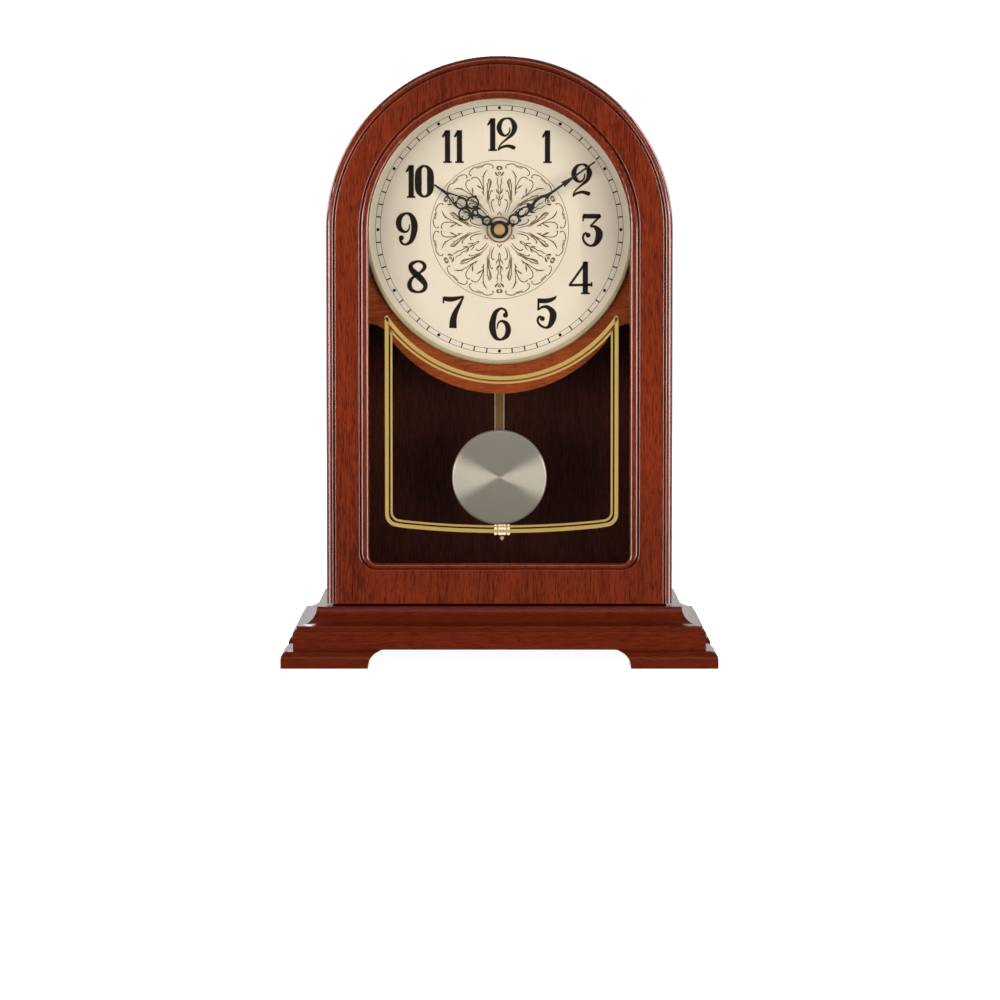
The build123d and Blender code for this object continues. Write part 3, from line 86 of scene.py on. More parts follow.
class ClockSizes(bpy.types.PropertyGroup):
    """Sizes of the printed and turned pieces."""

    number_radius: FloatProperty(
        name="Number radius",
        description="Dial centre to the middle of a number",
        default=49.2 * MM,
        unit="LENGTH",
    )
    track_inner: FloatProperty(
        name="Track inside",
        description="Inner circle of the minute track",
        default=62.0 * MM,
        unit="LENGTH",
    )
    track_outer: FloatProperty(
        name="Track outside",
        description="Outer circle of the minute track",
        default=64.5 * MM,
        unit="LENGTH",
    )
    scroll_radius: FloatProperty(
        name="Scroll circle",
        description="Circle round the scroll ornament",
        default=36.0 * MM,
        unit="LENGTH",
    )
    bob_segments: IntProperty(
        name="Bob steps",
        description="Steps round the bob",
        default=160,
        min=24,
        max=512,
    )


class ClockColours(bpy.types.PropertyGroup):
    """Colours of the finishes, linear."""

    stain: FloatVectorProperty(
        name="Stain",
        description="Lit red-brown of the stained veneer",
        subtype="COLOR",
        default=linear("#87310F"),
    )
    stain_dark: FloatVectorProperty(
        name="Dark stain",
        description="Stain gathered in the pores",
        subtype="COLOR",
        default=linear("#460F03"),
    )
    dial: FloatVectorProperty(
        name="Dial",
        description="Cream enamel of the dial",
        subtype="COLOR",
        default=linear("#F0E2C8"),
    )
    gold: FloatVectorProperty(
        name="Gold ink",
        description="Gold printing ink",
        subtype="COLOR",
        default=linear("#B89C59"),
    )
    scroll: FloatVectorProperty(
        name="Scroll ink",
        description="Bronze ink of the dial's ornament",
        subtype="COLOR",
        default=linear("#6A5228"),
    )


# Surfaces: every shape is worked out as whole arrays of points


def smooth(points, steps=8, closed=False):
    """A Catmull-Rom curve through rows of numbers: a place, and a half-width where there is a third column.

    Between rows b and c, with a before and d after, it is
    (2b + (c - a)t + (2a - 5b + 4c - d)t^2 + (3b - a - 3c + d)t^3) / 2.
    """
    rows = np.asarray(points, float)
    if closed:
        rows = np.vstack([rows[-1:], rows, rows[:2]])
    else:
        rows = np.vstack([2 * rows[:1] - rows[1:2], rows, 2 * rows[-1:] - rows[-2:-1]])
    t = np.linspace(0, 1, steps, endpoint=False)[None, :, None]
    a, b, c, d = rows[:-3, None], rows[1:-2, None], rows[2:-1, None], rows[3:, None]
    curve = (2 * b + (c - a) * t + (2 * a - 5 * b + 4 * c - d) * t**2 + (3 * b - a - 3 * c + d) * t**3) / 2
    return np.vstack([curve.reshape(-1, rows.shape[1]), rows[-2]])


def ribbon(path, half, back, thickness):
    """A printed line: a flat four-cornered profile carried along a path seen from the front.

    At each point of the path the corners stand a half-width to each side, square to the path,
    on the ground behind and a thickness in front of it.
    """
    path = np.asarray(path, float)
    along = np.gradient(path, axis=0)
    along /= np.maximum(np.linalg.norm(along, axis=1, keepdims=True), 1e-12)
    side = np.stack([-along[:, 1], along[:, 0]], 1) * np.broadcast_to(half, len(path))[:, None]
    across = np.stack([path + side, path + side, path - side, path - side], 1)
    depth = np.broadcast_to([back, back - thickness, back - thickness, back], across.shape[:2])
    points = np.stack([across[..., 0], depth, across[..., 1]], -1).reshape(-1, 3)
    start = 4 * np.arange(len(path) - 1)[:, None] + np.arange(4)
    turned = 4 * np.arange(len(path) - 1)[:, None] + (np.arange(4) + 1) % 4
    walls = np.stack([start, turned, turned + 4, start + 4], -1).reshape(-1, 4)
    last = 4 * (len(path) - 1)
    return points, np.vstack([walls, [[0, 3, 2, 1]], [[last, last + 1, last + 2, last + 3]]])


def dot(x, z, radius, back, thickness, steps=14):
    """A printed dot: a line along its own diameter whose half-width follows a circle, r sin u at r cos u."""
    turn = np.linspace(0.02, np.pi - 0.02, steps)
    path = np.stack([x - radius * np.cos(turn), np.full(steps, z)], 1)
    return ribbon(path, radius * np.sin(turn), back, thickness)


def circle(x, z, radius, half, back, thickness, steps=240):
    """A printed ring about a point."""
    turn = np.linspace(0, 2 * np.pi, steps)
    return ribbon(np.stack([x + radius * np.cos(turn), z + radius * np.sin(turn)], 1), half, back, thickness)


def turned(profile, steps, centre):
    """A turned piece: a profile of (radius, depth) rows carried round an axis along the clock's depth."""
    turn = np.linspace(0, 2 * np.pi, steps + 1)
    radius, depth = np.asarray(profile, float).T
    x = centre[0] + radius[:, None] * np.cos(turn)
    z = centre[1] + radius[:, None] * np.sin(turn)
    points = np.stack([x, np.broadcast_to(depth[:, None], x.shape), z], -1).reshape(-1, 3)
    rows, columns = np.mgrid[0 : len(radius) - 1, 0:steps]
    first = (rows * (steps + 1) + columns).ravel()
    faces = np.stack([first, first + 1, first + steps + 2, first + steps + 1], 1)
    around = np.broadcast_to(turn / (2 * np.pi), x.shape).ravel()
    out = np.repeat(np.linspace(0, 1, len(radius)), steps + 1)
    return points, faces, np.stack([around, out], 1)


def piece(name, parts, material, body, uv=None):
    """One object from lists of points and faces, with its finish and its body."""
    counts = np.cumsum([0] + [len(points) for points, _ in parts])
    points = np.concatenate([points for points, _ in parts])
    faces = np.concatenate([faces + start for (_, faces), start in zip(parts, counts)])
    mesh = bpy.data.meshes.new(name)
    mesh.from_pydata(points.tolist(), [], faces.tolist())
    if uv is not None:
        layer = mesh.uv_layers.new(name="turning")
        layer.data.foreach_set("uv", uv[faces.ravel()].astype(np.float32).ravel())
        build = bmesh.new()
        build.from_mesh(mesh)
        bmesh.ops.remove_doubles(build, verts=build.verts, dist=1e-7)
        bmesh.ops.recalc_face_normals(build, faces=build.faces)
        build.to_mesh(mesh)
        build.free()
        mesh.polygons.foreach_set("use_smooth", np.ones(len(mesh.polygons), bool))
    made = bpy.data.objects.new(name, mesh)
    bpy.context.scene.collection.objects.link(made)
    mesh.materials.append(material)
    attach(made, body)
    return made


# Finishes


def add(tree, kind, inputs=None, **settings):
    """Add a node of a kind with its settings, and set or link its inputs by name or number."""
    node = tree.nodes.new("ShaderNode" + kind)
    for key, value in settings.items():
        setattr(node, key, value)
    for key, value in (inputs or {}).items():
        if isinstance(value, bpy.types.NodeSocket):
            tree.links.new(value, node.inputs[key])
        else:
            node.inputs[key].default_value = value
    return node


def blank(name):
    """A new material, its node tree and its surface shader."""
    material = bpy.data.materials.new(name)
    material.use_nodes = True
    return material, material.node_tree, material.node_tree.nodes["Principled BSDF"]


def rgba(colour):
    """A colour with full alpha."""
    return (*colour, 1.0)


def shades(ramp, rows):
    """Set a colour ramp's stops to rows of (place from 0 to 1, linear colour)."""
    stops = ramp.color_ramp.elements
    stops[0].position, stops[-1].position = rows[0][0], rows[-1][0]
    for place, _ in rows[1:-1]:
        stops.new(place)
    for stop, (_, colour) in zip(stops, rows):
        stop.color = rgba(colour)


def tinged(material, share, colour):
    """Blend a material's own colour into a second one, by a share from 0 to 1."""
    tree = material.node_tree
    socket = tree.nodes["Principled BSDF"].inputs["Base Color"]
    blend = add(tree, "Mix", {0: share, 6: socket.links[0].from_socket, 7: rgba(colour)}, data_type="RGBA")
    tree.links.new(blend.outputs[2], socket)


def finish_nodes(names, material):
    """Give CAD nodes a finish."""
    for name in names:
        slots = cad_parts[name].data.materials
        slots.clear()
        slots.append(material)


def stretched(tree, across, along, grain):
    """Object coordinates in which one unit is so many millimetres across the grain and along it."""
    scale = [1 / (across * MM)] * 3
    scale[grain] = 1 / (along * MM)
    place = add(tree, "TexCoord")
    return add(tree, "Mapping", {"Vector": place.outputs["Object"], "Scale": scale}).outputs[0]


def veneer(name, grain, light, dark, gloss=0.34, coat=1.7, satin=0.06, depth=()):
    """Poplar veneer, stained red-brown and lacquered: coat is the lacquer's index, satin its roughness.

    Broad figure 16 mm wide, fibres 0.65 mm wide and open pores 0.45 mm wide and 5 mm long, in which
    the stain gathers; the lacquer leaves the pores as a fine grain in its gloss. Depth gives rows of
    (height in metres, share of the colour) that darken the colour by height, as painted shade.
    """
    material, tree, surface = blank(name)
    where = stretched(tree, 16, 210, grain)
    figure = add(tree, "TexNoise", {"Vector": where, "Scale": 1.0, "Detail": 3.0, "Distortion": 0.8})
    where = stretched(tree, 0.65, 11, grain)
    fibre = add(tree, "TexNoise", {"Vector": where, "Scale": 1.0, "Detail": 4.0, "Roughness": 0.66})
    where = stretched(tree, 0.45, 5, grain)
    pore = add(tree, "TexNoise", {"Vector": where, "Scale": 1.0, "Detail": 1.0})
    blend = add(tree, "Math", {0: figure.outputs[0], 1: 0.22, 2: 0.1}, operation="MULTIPLY_ADD")
    blend = add(tree, "Math", {0: fibre.outputs[0], 1: 0.62, 2: blend.outputs[0]}, operation="MULTIPLY_ADD")
    tone = add(tree, "ValToRGB", {0: blend.outputs[0]})
    middle = tuple(0.62 * np.array(light) + 0.38 * np.array(dark))
    shades(tone, ((0.38, dark), (0.52, middle), (0.68, light)))
    open_pore = add(tree, "MapRange", {0: pore.outputs[0], 1: 0.54, 2: 0.66, 3: 0.0, 4: 0.8})
    mixed = {0: open_pore.outputs[0], 6: tone.outputs[0], 7: rgba(dark)}
    colour = add(tree, "Mix", mixed, data_type="RGBA", clamp_factor=True).outputs[2]
    # Painted shade: the colour is darkened by height, by the rows in depth
    if depth:
        bottom, top = depth[0][0], depth[-1][0]
        place = add(tree, "SeparateXYZ", {0: add(tree, "TexCoord").outputs["Object"]})
        level = add(tree, "MapRange", {0: place.outputs["Z"], 1: bottom, 2: top})
        painted_shade = add(tree, "ValToRGB", {0: level.outputs[0]})
        shades(painted_shade, [((height - bottom) / (top - bottom), [share] * 3) for height, share in depth])
        colour = add(tree, "VectorMath", {0: colour, 1: painted_shade.outputs[0]}, operation="MULTIPLY").outputs[0]
    height = add(tree, "Math", {0: fibre.outputs[0], 1: 0.35}, operation="MULTIPLY")
    height = add(tree, "Math", {0: height.outputs[0], 1: open_pore.outputs[0]}, operation="SUBTRACT")
    bump = add(tree, "Bump", {"Height": height.outputs[0], "Strength": 0.22, "Distance": 0.05 * MM})
    rough = add(tree, "MapRange", {0: fibre.outputs[0], 1: 0.2, 2: 0.8, 3: gloss - 0.06, 4: gloss + 0.1})
    tree.links.new(colour, surface.inputs["Base Color"])
    tree.links.new(rough.outputs[0], surface.inputs["Roughness"])
    tree.links.new(bump.outputs[0], surface.inputs["Normal"])
    surface.inputs["Specular IOR Level"].default_value = 0.05
    surface.inputs["Coat Weight"].default_value = 1.0
    surface.inputs["Coat Roughness"].default_value = satin
    surface.inputs["Coat IOR"].default_value = coat
    return material


def metal(name, colour, rough, spread, size, grain=None, bump=0.12, bare=1.0):
    """Plated or bare metal with a fine finish: grain along an axis, or even, of a size in millimetres.

    A lacquered plate is less bare, and keeps some colour where nothing bright is mirrored in it.
    """
    material, tree, surface = blank(name)
    along = size * 24 if grain is not None else size
    where = stretched(tree, size, along, grain if grain is not None else 0)
    mark = add(tree, "TexNoise", {"Vector": where, "Scale": 1.0, "Detail": 3.0, "Roughness": 0.65})
    stain = add(tree, "TexNoise", {"Vector": stretched(tree, 9, 9, 0), "Scale": 1.0, "Detail": 2.0})
    shade = add(tree, "MapRange", {0: stain.outputs[0], 1: 0.3, 2: 0.7, 3: 0.9, 4: 1.05})
    tint = add(tree, "VectorMath", {0: colour, "Scale": shade.outputs[0]}, operation="SCALE")
    limits = {1: 0.25, 2: 0.75, 3: rough - spread, 4: rough + spread}
    gloss = add(tree, "MapRange", {0: mark.outputs[0], **limits})
    relief = add(tree, "Bump", {"Height": mark.outputs[0], "Strength": bump, "Distance": 0.02 * MM})
    surface.inputs["Metallic"].default_value = bare
    tree.links.new(tint.outputs[0], surface.inputs["Base Color"])
    tree.links.new(gloss.outputs[0], surface.inputs["Roughness"])
    tree.links.new(relief.outputs[0], surface.inputs["Normal"])
    return material


def moulded(name, colour, rough, size=0.35, bump=0.25):
    """Plastic, rubber or lacquer with the even grain its mould or spray leaves, of a size in millimetres."""
    material, tree, surface = blank(name)
    grit = add(tree, "TexNoise", {"Vector": stretched(tree, size, size, 0), "Scale": 1.0, "Detail": 2.0})
    cloud = add(tree, "TexNoise", {"Vector": stretched(tree, 7, 7, 0), "Scale": 1.0, "Detail": 2.0})
    shade = add(tree, "MapRange", {0: cloud.outputs[0], 1: 0.3, 2: 0.7, 3: 0.92, 4: 1.06})
    tint = add(tree, "VectorMath", {0: colour, "Scale": shade.outputs[0]}, operation="SCALE")
    gloss = add(tree, "MapRange", {0: grit.outputs[0], 1: 0.25, 2: 0.75, 3: rough - 0.05, 4: rough + 0.06})
    relief = add(tree, "Bump", {"Height": grit.outputs[0], "Strength": bump, "Distance": 0.03 * MM})
    tree.links.new(tint.outputs[0], surface.inputs["Base Color"])
    tree.links.new(gloss.outputs[0], surface.inputs["Roughness"])
    tree.links.new(relief.outputs[0], surface.inputs["Normal"])
    return material


def ink(name, colour, rough, metallic=0.0):
    """Printing ink: an even film, slightly patchy, with metal flake in it where it is gold."""
    material, tree, surface = blank(name)
    flake = add(tree, "TexNoise", {"Vector": stretched(tree, 0.5, 0.5, 0), "Scale": 1.0, "Detail": 2.0})
    shade = add(tree, "MapRange", {0: flake.outputs[0], 1: 0.3, 2: 0.7, 3: 0.88, 4: 1.08})
    tint = add(tree, "VectorMath", {0: colour, "Scale": shade.outputs[0]}, operation="SCALE")
    tree.links.new(tint.outputs[0], surface.inputs["Base Color"])
    surface.inputs["Roughness"].default_value = rough
    surface.inputs["Metallic"].default_value = metallic
    surface.inputs["Specular IOR Level"].default_value = 0.15
    return material


# Numbers of the dial: strokes of (across, up, half-width) rows in millimetres, about the middle of the figure

DIGITS = {
    "0": {
        "rings": [
            [(0, 7.95, 0.45), (1.9, 7.0, 0.8), (3.0, 4.6, 1.5), (3.2, 0, 1.7), (3.0, -4.6, 1.5)]
            + [(1.9, -7.0, 0.8), (0, -7.95, 0.45), (-1.9, -7.0, 0.8), (-3.0, -4.6, 1.5), (-3.2, 0, 1.7)]
            + [(-3.0, 4.6, 1.5), (-1.9, 7.0, 0.8)]
        ]
    },
    "1": {
        "strokes": [
            [(0, 8.4, 1.25), (0, -8.2, 1.25)],
            [(-2.25, -8.15, 0.34), (2.25, -8.15, 0.34)],
            [(-0.4, 7.75, 0.7), (-1.6, 6.2, 0.55), (-2.7, 4.7, 0.28)],
        ]
    },
    "2": {
        "strokes": [
            [(1.36, 3.6, 0.1), (1.55, 2.1, 0.24), (0.7, 0.2, 0.34), (-1.2, -0.75, 0.5), (-3.3, 0.85, 0.98)]
            + [(-4.1, 3.8, 1.2), (-2.65, 7.1, 0.75), (-0.1, 8.2, 0.36), (2.3, 7.5, 0.75), (4.0, 4.0, 1.3)]
            + [(2.9, 0.3, 0.9), (0.1, -2.3, 0.5), (-2.86, -4.85, 0.28), (-4.1, -6.75, 0.24)]
            + [(-4.5, -8.5, 0.2)],
            [(-4.5, -8.5, 0.12), (-3.0, -6.95, 0.5), (0.1, -6.1, 0.64), (3.0, -6.75, 0.88)]
            + [(4.3, -7.35, 0.75)],
        ]
    },
    "3": {
        "strokes": [
            [(-4.9, 7.35, 1.1), (0, 7.35, 1.1), (4.3, 7.4, 1.0)],
            [(-4.7, 7.6, 0.32), (-4.8, 4.7, 0.24)],
            [(4.4, 7.8, 0.5), (-1.0, 2.2, 0.36)],
            [(-1.1, 2.0, 0.3), (1.2, 1.9, 0.7), (3.35, -0.5, 1.55), (3.5, -3.3, 1.7), (1.9, -6.7, 1.1)]
            + [(-0.5, -8.0, 0.5), (-3.2, -7.0, 0.5), (-4.8, -4.4, 0.45), (-4.3, -2.0, 0.45)]
            + [(-2.8, -1.3, 0.5)],
        ],
        "dots": [(-2.2, -2.5, 1.15)],
    },
    "4": {
        "strokes": [
            [(2.55, 8.3, 1.25), (2.55, -8.4, 1.25)],
            [(0.3, -8.15, 0.36), (4.9, -8.15, 0.36)],
            [(3.1, 8.4, 0.5), (-5.7, -4.0, 0.45)],
            [(-6.0, -3.9, 0.55), (5.8, -3.7, 0.55)],
            [(5.8, -2.3, 0.3), (5.8, -4.7, 0.3)],
        ]
    },
    "5": {
        "strokes": [
            [(-4.25, 7.1, 0.45), (-4.5, 1.1, 0.38)],
            [(-4.5, 6.1, 1.05), (-1.5, 5.9, 1.1), (1.6, 6.3, 1.0), (4.0, 7.4, 0.6), (4.9, 8.5, 0.15)],
            [(-4.6, 1.0, 0.25), (-2.6, 2.6, 0.5), (0.3, 2.7, 0.85), (2.9, 0.2, 1.5), (3.2, -2.7, 1.65)]
            + [(1.8, -6.6, 1.1), (-0.4, -8.0, 0.5), (-3.2, -6.9, 0.5), (-4.7, -4.7, 0.48), (-4.2, -2.6, 0.48)]
            + [(-2.9, -2.1, 0.5)],
        ],
        "dots": [(-2.3, -3.3, 1.15)],
    },
    "6": {
        "strokes": [
            [(3.4, 5.2, 0.5), (2.5, 7.3, 0.5), (0.3, 8.1, 0.48), (-2.5, 6.0, 1.05), (-4.0, 1.0, 1.5)]
            + [(-3.95, -3.2, 1.55), (-2.4, -6.9, 1.0), (0.2, -8.0, 0.5), (3.1, -6.3, 1.1), (4.15, -3.0, 1.35)]
            + [(3.2, 0.2, 1.05), (0.7, 1.6, 0.5), (-1.1, 0.4, 0.3), (-1.7, -2.4, 0.12)],
        ],
        "dots": [(2.7, 4.7, 1.2)],
    },
    "7": {
        "strokes": [
            [(-5.15, 7.9, 0.36), (-5.2, 4.5, 0.26)],
            [(-5.3, 7.1, 0.95), (-1.6, 6.7, 1.2), (2.3, 7.3, 0.8), (5.4, 8.3, 0.22)],
            [(5.3, 8.1, 0.25), (3.2, 4.0, 0.72), (1.0, -0.2, 1.2), (-0.1, -4.0, 1.6), (-0.3, -8.4, 1.85)],
        ]
    },
    "8": {
        "rings": [
            [(0.2, 8.0, 0.48), (-2.9, 6.8, 0.9), (-3.6, 4.7, 1.1), (-1.7, 2.1, 1.5), (1.6, -0.9, 1.55)]
            + [(4.0, -4.2, 1.1), (3.1, -7.0, 0.8), (0.2, -8.0, 0.48), (-3.1, -6.9, 0.9), (-4.3, -4.2, 1.1)]
            + [(-3.1, -1.1, 0.7), (0.2, 1.4, 0.42), (2.9, 3.6, 0.75), (3.7, 5.5, 0.85), (2.7, 7.2, 0.7)]
        ]
    },
}
DIGITS["9"] = {
    "strokes": [[(-x, -z, half) for x, z, half in stroke] for stroke in DIGITS["6"]["strokes"]],
    "dots": [(-x, -z, radius) for x, z, radius in DIGITS["6"]["dots"]],
}
# Each number's figures, with how far each stands across and up from the number's place on its circle
NUMBERS = {
    1: [("1", 0.4, 0.5)], 2: [("2", 0.2, 1.0)], 3: [("3", -0.85, -0.4)], 4: [("4", -0.4, -0.4)],
    5: [("5", 0.1, -0.4)], 6: [("6", 0.45, 0.0)], 7: [("7", 0.65, -0.3)], 8: [("8", 0.0, 0.1)],
    9: [("9", 0.85, 0.4)], 10: [("1", -3.3, 0.5), ("0", 3.55, 0.5)], 11: [("1", -2.4, 0.6), ("1", 3.8, 0.6)],
    12: [("1", -3.5, 0.2), ("2", 3.9, 0.3)],
}


def number_parts(radius, grow, back):
    """Every stroke of the twelve numbers, upright round the dial, with all half-widths grown alike."""
    parts = []
    for hour, figures in NUMBERS.items():
        turn = np.pi / 6 * hour
        middle = np.array([radius * np.sin(turn), DIAL_Z + radius * np.cos(turn)])
        for digit, across, up in figures:
            shape = DIGITS[digit]
            runs = [smooth(stroke, 7) for stroke in shape.get("strokes", [])]
            runs += [smooth(ring, 7, closed=True) for ring in shape.get("rings", [])]
            shift = middle + (across * MM, up * MM)
            parts += [ribbon(run[:, :2] * MM + shift, (run[:, 2] + grow) * MM, back, PRINT) for run in runs]
            parts += [
                dot(x * MM + shift[0], z * MM + shift[1], (size + grow) * MM, back, PRINT)
                for x, z, size in shape.get("dots", [])
            ]
    return parts


# Ornament of the dial: strokes of (radius, degrees from the middle of a sixth, half-width) rows

SCROLLS = [
    # The border scroll, in two halves
    [(32.0, 23.4, 0.36), (32.7, 24.4, 0.22), (33.8, 23.4, 0.22), (34.6, 20.2, 0.26), (34.7, 17.0, 0.24)]
    + [(34.1, 15.4, 0.3)],
    [(31.6, 2.6, 0.36), (32.3, 1.5, 0.24), (33.2, 1.7, 0.22), (34.0, 3.2, 0.24), (34.6, 6.0, 0.26)]
    + [(34.9, 8.6, 0.2)],
    [(34.1, 15.4, 0.14), (34.2, 12.0, 0.14), (34.9, 8.6, 0.14)],
    # The long scroll and its leaves
    [(29.9, 0.9, 0.38), (30.35, 2.7, 0.24), (29.9, 5.5, 0.24), (28.7, 7.4, 0.24), (26.8, 8.3, 0.24)]
    + [(23.6, 8.3, 0.22), (20.8, 6.6, 0.2), (19.3, 5.5, 0.12)],
    [(26.0, 2.7, 0.08), (24.8, 4.4, 0.4), (23.6, 6.0, 0.28), (22.7, 7.4, 0.12)],
    [(22.0, 5.0, 0.08), (21.1, 5.6, 0.24), (20.2, 6.5, 0.1)],
    # The thin leaf that bends out to the border
    [(31.7, 18.7, 0.08), (30.4, 15.6, 0.32), (28.9, 13.3, 0.3), (27.2, 11.9, 0.24), (25.1, 10.6, 0.2)]
    + [(22.3, 8.4, 0.2), (19.9, 5.2, 0.14)],
    [(29.4, 11.8, 0.08), (28.3, 12.7, 0.22)],
    # The broad leaf, its stalk and its small leaf
    [(27.1, 18.7, 0.1), (25.9, 19.8, 0.24), (25.0, 20.2, 0.26), (23.4, 18.7, 0.26), (21.4, 15.4, 0.26)]
    + [(18.6, 12.2, 0.22), (16.2, 10.0, 0.2), (13.1, 6.8, 0.18), (9.8, 4.7, 0.1)],
    [(27.1, 18.7, 0.1), (26.2, 17.3, 0.22), (25.1, 16.6, 0.24), (24.2, 15.0, 0.1)],
    [(25.1, 14.5, 0.1), (24.2, 14.8, 0.24), (22.8, 14.0, 0.22), (21.4, 12.7, 0.2), (17.9, 9.2, 0.18)]
    + [(16.2, 6.6, 0.18), (14.5, 6.3, 0.1)],
    # The two curls between the leaves
    [(20.2, 20.5, 0.38), (20.6, 18.6, 0.26), (19.6, 16.1, 0.22), (18.0, 13.6, 0.22), (16.1, 10.4, 0.14)],
    [(15.7, 20.1, 0.38), (15.8, 17.0, 0.28), (14.7, 13.5, 0.26), (12.7, 11.8, 0.28), (10.6, 11.9, 0.22)]
    + [(9.25, 13.0, 0.1)],
    # The stem between two sixths, with its leaves and flower
    [(12.2, 30.0, 0.28), (13.4, 28.2, 0.2), (15.2, 28.6, 0.2), (18.2, 30.0, 0.16)],
    [(15.0, 29.0, 0.1), (16.6, 25.6, 0.28), (18.4, 24.0, 0.08)],
    [(18.2, 30.0, 0.1), (19.6, 26.8, 0.32), (21.4, 25.0, 0.08)],
    [(27.3, 27.0, 0.1), (26.0, 28.0, 0.24), (24.4, 27.3, 0.24), (22.6, 28.6, 0.24), (20.6, 28.0, 0.24)]
    + [(18.6, 29.4, 0.14)],
    [(27.6, 29.6, 0.1), (28.3, 27.6, 0.34), (29.4, 26.0, 0.34), (30.2, 26.2, 0.1)],
    [(28.6, 30.0, 0.12), (29.4, 29.0, 0.3), (30.2, 30.0, 0.1)],
    [(31.0, 30.0, 0.14), (31.5, 28.0, 0.34), (32.4, 27.8, 0.32), (32.9, 29.0, 0.2), (32.4, 30.0, 0.28)],
    [(7.6, 22.0, 0.26), (8.3, 25.0, 0.28), (8.7, 30.0, 0.14)],
    [(8.6, 30.0, 0.3), (9.5, 30.0, 0.12)],
]
LEAVES = [
    [(26.8, 18.7, 0.12), (25.6, 19.0, 0.42), (24.4, 18.6, 0.5), (23.2, 17.4, 0.4), (21.6, 15.2, 0.14)],
    [(21.4, 14.0, 0.12), (19.6, 12.2, 0.26), (17.6, 10.0, 0.24), (15.6, 7.6, 0.1)],
    [(25.6, 3.3, 0.08), (24.6, 4.8, 0.3), (23.2, 6.8, 0.1)],
    [(28.3, 28.4, 0.12), (29.2, 27.2, 0.3), (29.9, 26.8, 0.1)],
    [(31.4, 29.2, 0.14), (32.2, 28.6, 0.4), (32.6, 29.4, 0.14)],
]
SCROLL_TICKS = [9.5, 10.7, 11.9, 13.1, 14.3]


def sixths(runs, back):
    """Strokes of one half of a sixth, mirrored and turned six times."""
    parts = []
    for sixth in range(6):
        for side in (-1, 1):
            for run in runs:
                turn = np.radians(60 * sixth + 30 + side * run[:, 1])
                path = np.stack([run[:, 0] * np.sin(turn), run[:, 0] * np.cos(turn)], 1) * MM
                parts.append(ribbon(path + (0, DIAL_Z), run[:, 2] * MM, back, PRINT))
    return parts


def scroll_parts(back):
    """The drawn lines of the ornament, with the short bars across the border scroll."""
    runs = [smooth(stroke, 6) for stroke in SCROLLS]
    runs += [np.array([(33.5, middle + 0.5, 0.16), (34.9, middle - 0.4, 0.16)]) for middle in SCROLL_TICKS]
    return sixths(runs, back)


# Line printed on the glass


def corner(x, z, radius, first, last, steps=10):
    """Points of a quarter round, between two angles in degrees."""
    turn = np.radians(np.linspace(first, last, steps))
    return np.stack([x + radius * np.cos(turn), z + radius * np.sin(turn)], 1)


def frame_line(half, low, round_off, arc_radius, width):
    """One line of the pair on the glass, in millimetres: two uprights joined by a bowed sill, under an arc.

    The sill falls by x^2 / 2R from the corners to the middle; the arc is part of a circle about the dial.
    """
    sill = half - round_off
    rise = half**2 / (2 * SILL_BOW)
    across = np.linspace(sill, -sill, 41)
    level = low + across**2 / (2 * SILL_BOW)
    foot = low + rise + round_off
    top = ARC_HEIGHT - np.sqrt(arc_radius**2 - half**2)
    path = np.vstack([
        [(half, top), (half, (top + foot) / 2)],
        corner(sill, foot - 0.4, round_off, 0, -80),
        np.stack([across[1:-1], level[1:-1]], 1),
        corner(-sill, foot - 0.4, round_off, -100, -180),
        [(-half, (top + foot) / 2), (-half, top)],
    ])
    reach = np.arcsin(half / arc_radius) + 0.4 * width / arc_radius
    turn = np.linspace(-reach, reach, 90)
    arc = np.stack([arc_radius * np.sin(turn), ARC_HEIGHT - arc_radius * np.cos(turn)], 1)
    return [ribbon((run + (LINE_MIDDLE, 0)) * MM, width / 2 * MM, GLASS_FRONT, PRINT) for run in (path, arc)]


def clasp_parts():
    """Three rows of raised beads where the two lines meet the clasp.

    A bead is a dome of ink: at u from its top its radius is r sin u and its height h cos u.
    """
    turn = np.radians(np.linspace(0, 90, 5))
    dome = np.stack([np.sin(turn), -0.4 * np.cos(turn)], 1) * MM
    ground = GLASS_FRONT - 2 * PRINT
    return [
        turned(size * dome + (0, ground), 12, ((CLASP_MIDDLE + across) * MM, height * MM))[:2]
        for height, size in ((67.45, 0.75), (70.15, 0.7), (71.9, 0.45))
        for across in (-3.4, -1.3, 0, 1.3, 3.4)
    ]


def clasp_ground():
    """A gold band behind the beads and a drop hung under it."""
    x = CLASP_MIDDLE
    band = np.array([(x, 67.0, 4.1), (x, 72.2, 4.1)]) * MM
    drop = smooth([(x, 66.1, 0.3), (x, 65.5, 1.1), (x, 64.0, 0.2)], 8) * MM
    return [ribbon(run[:, :2], run[:, 2], GLASS_FRONT, 2 * PRINT) for run in (band, drop)]


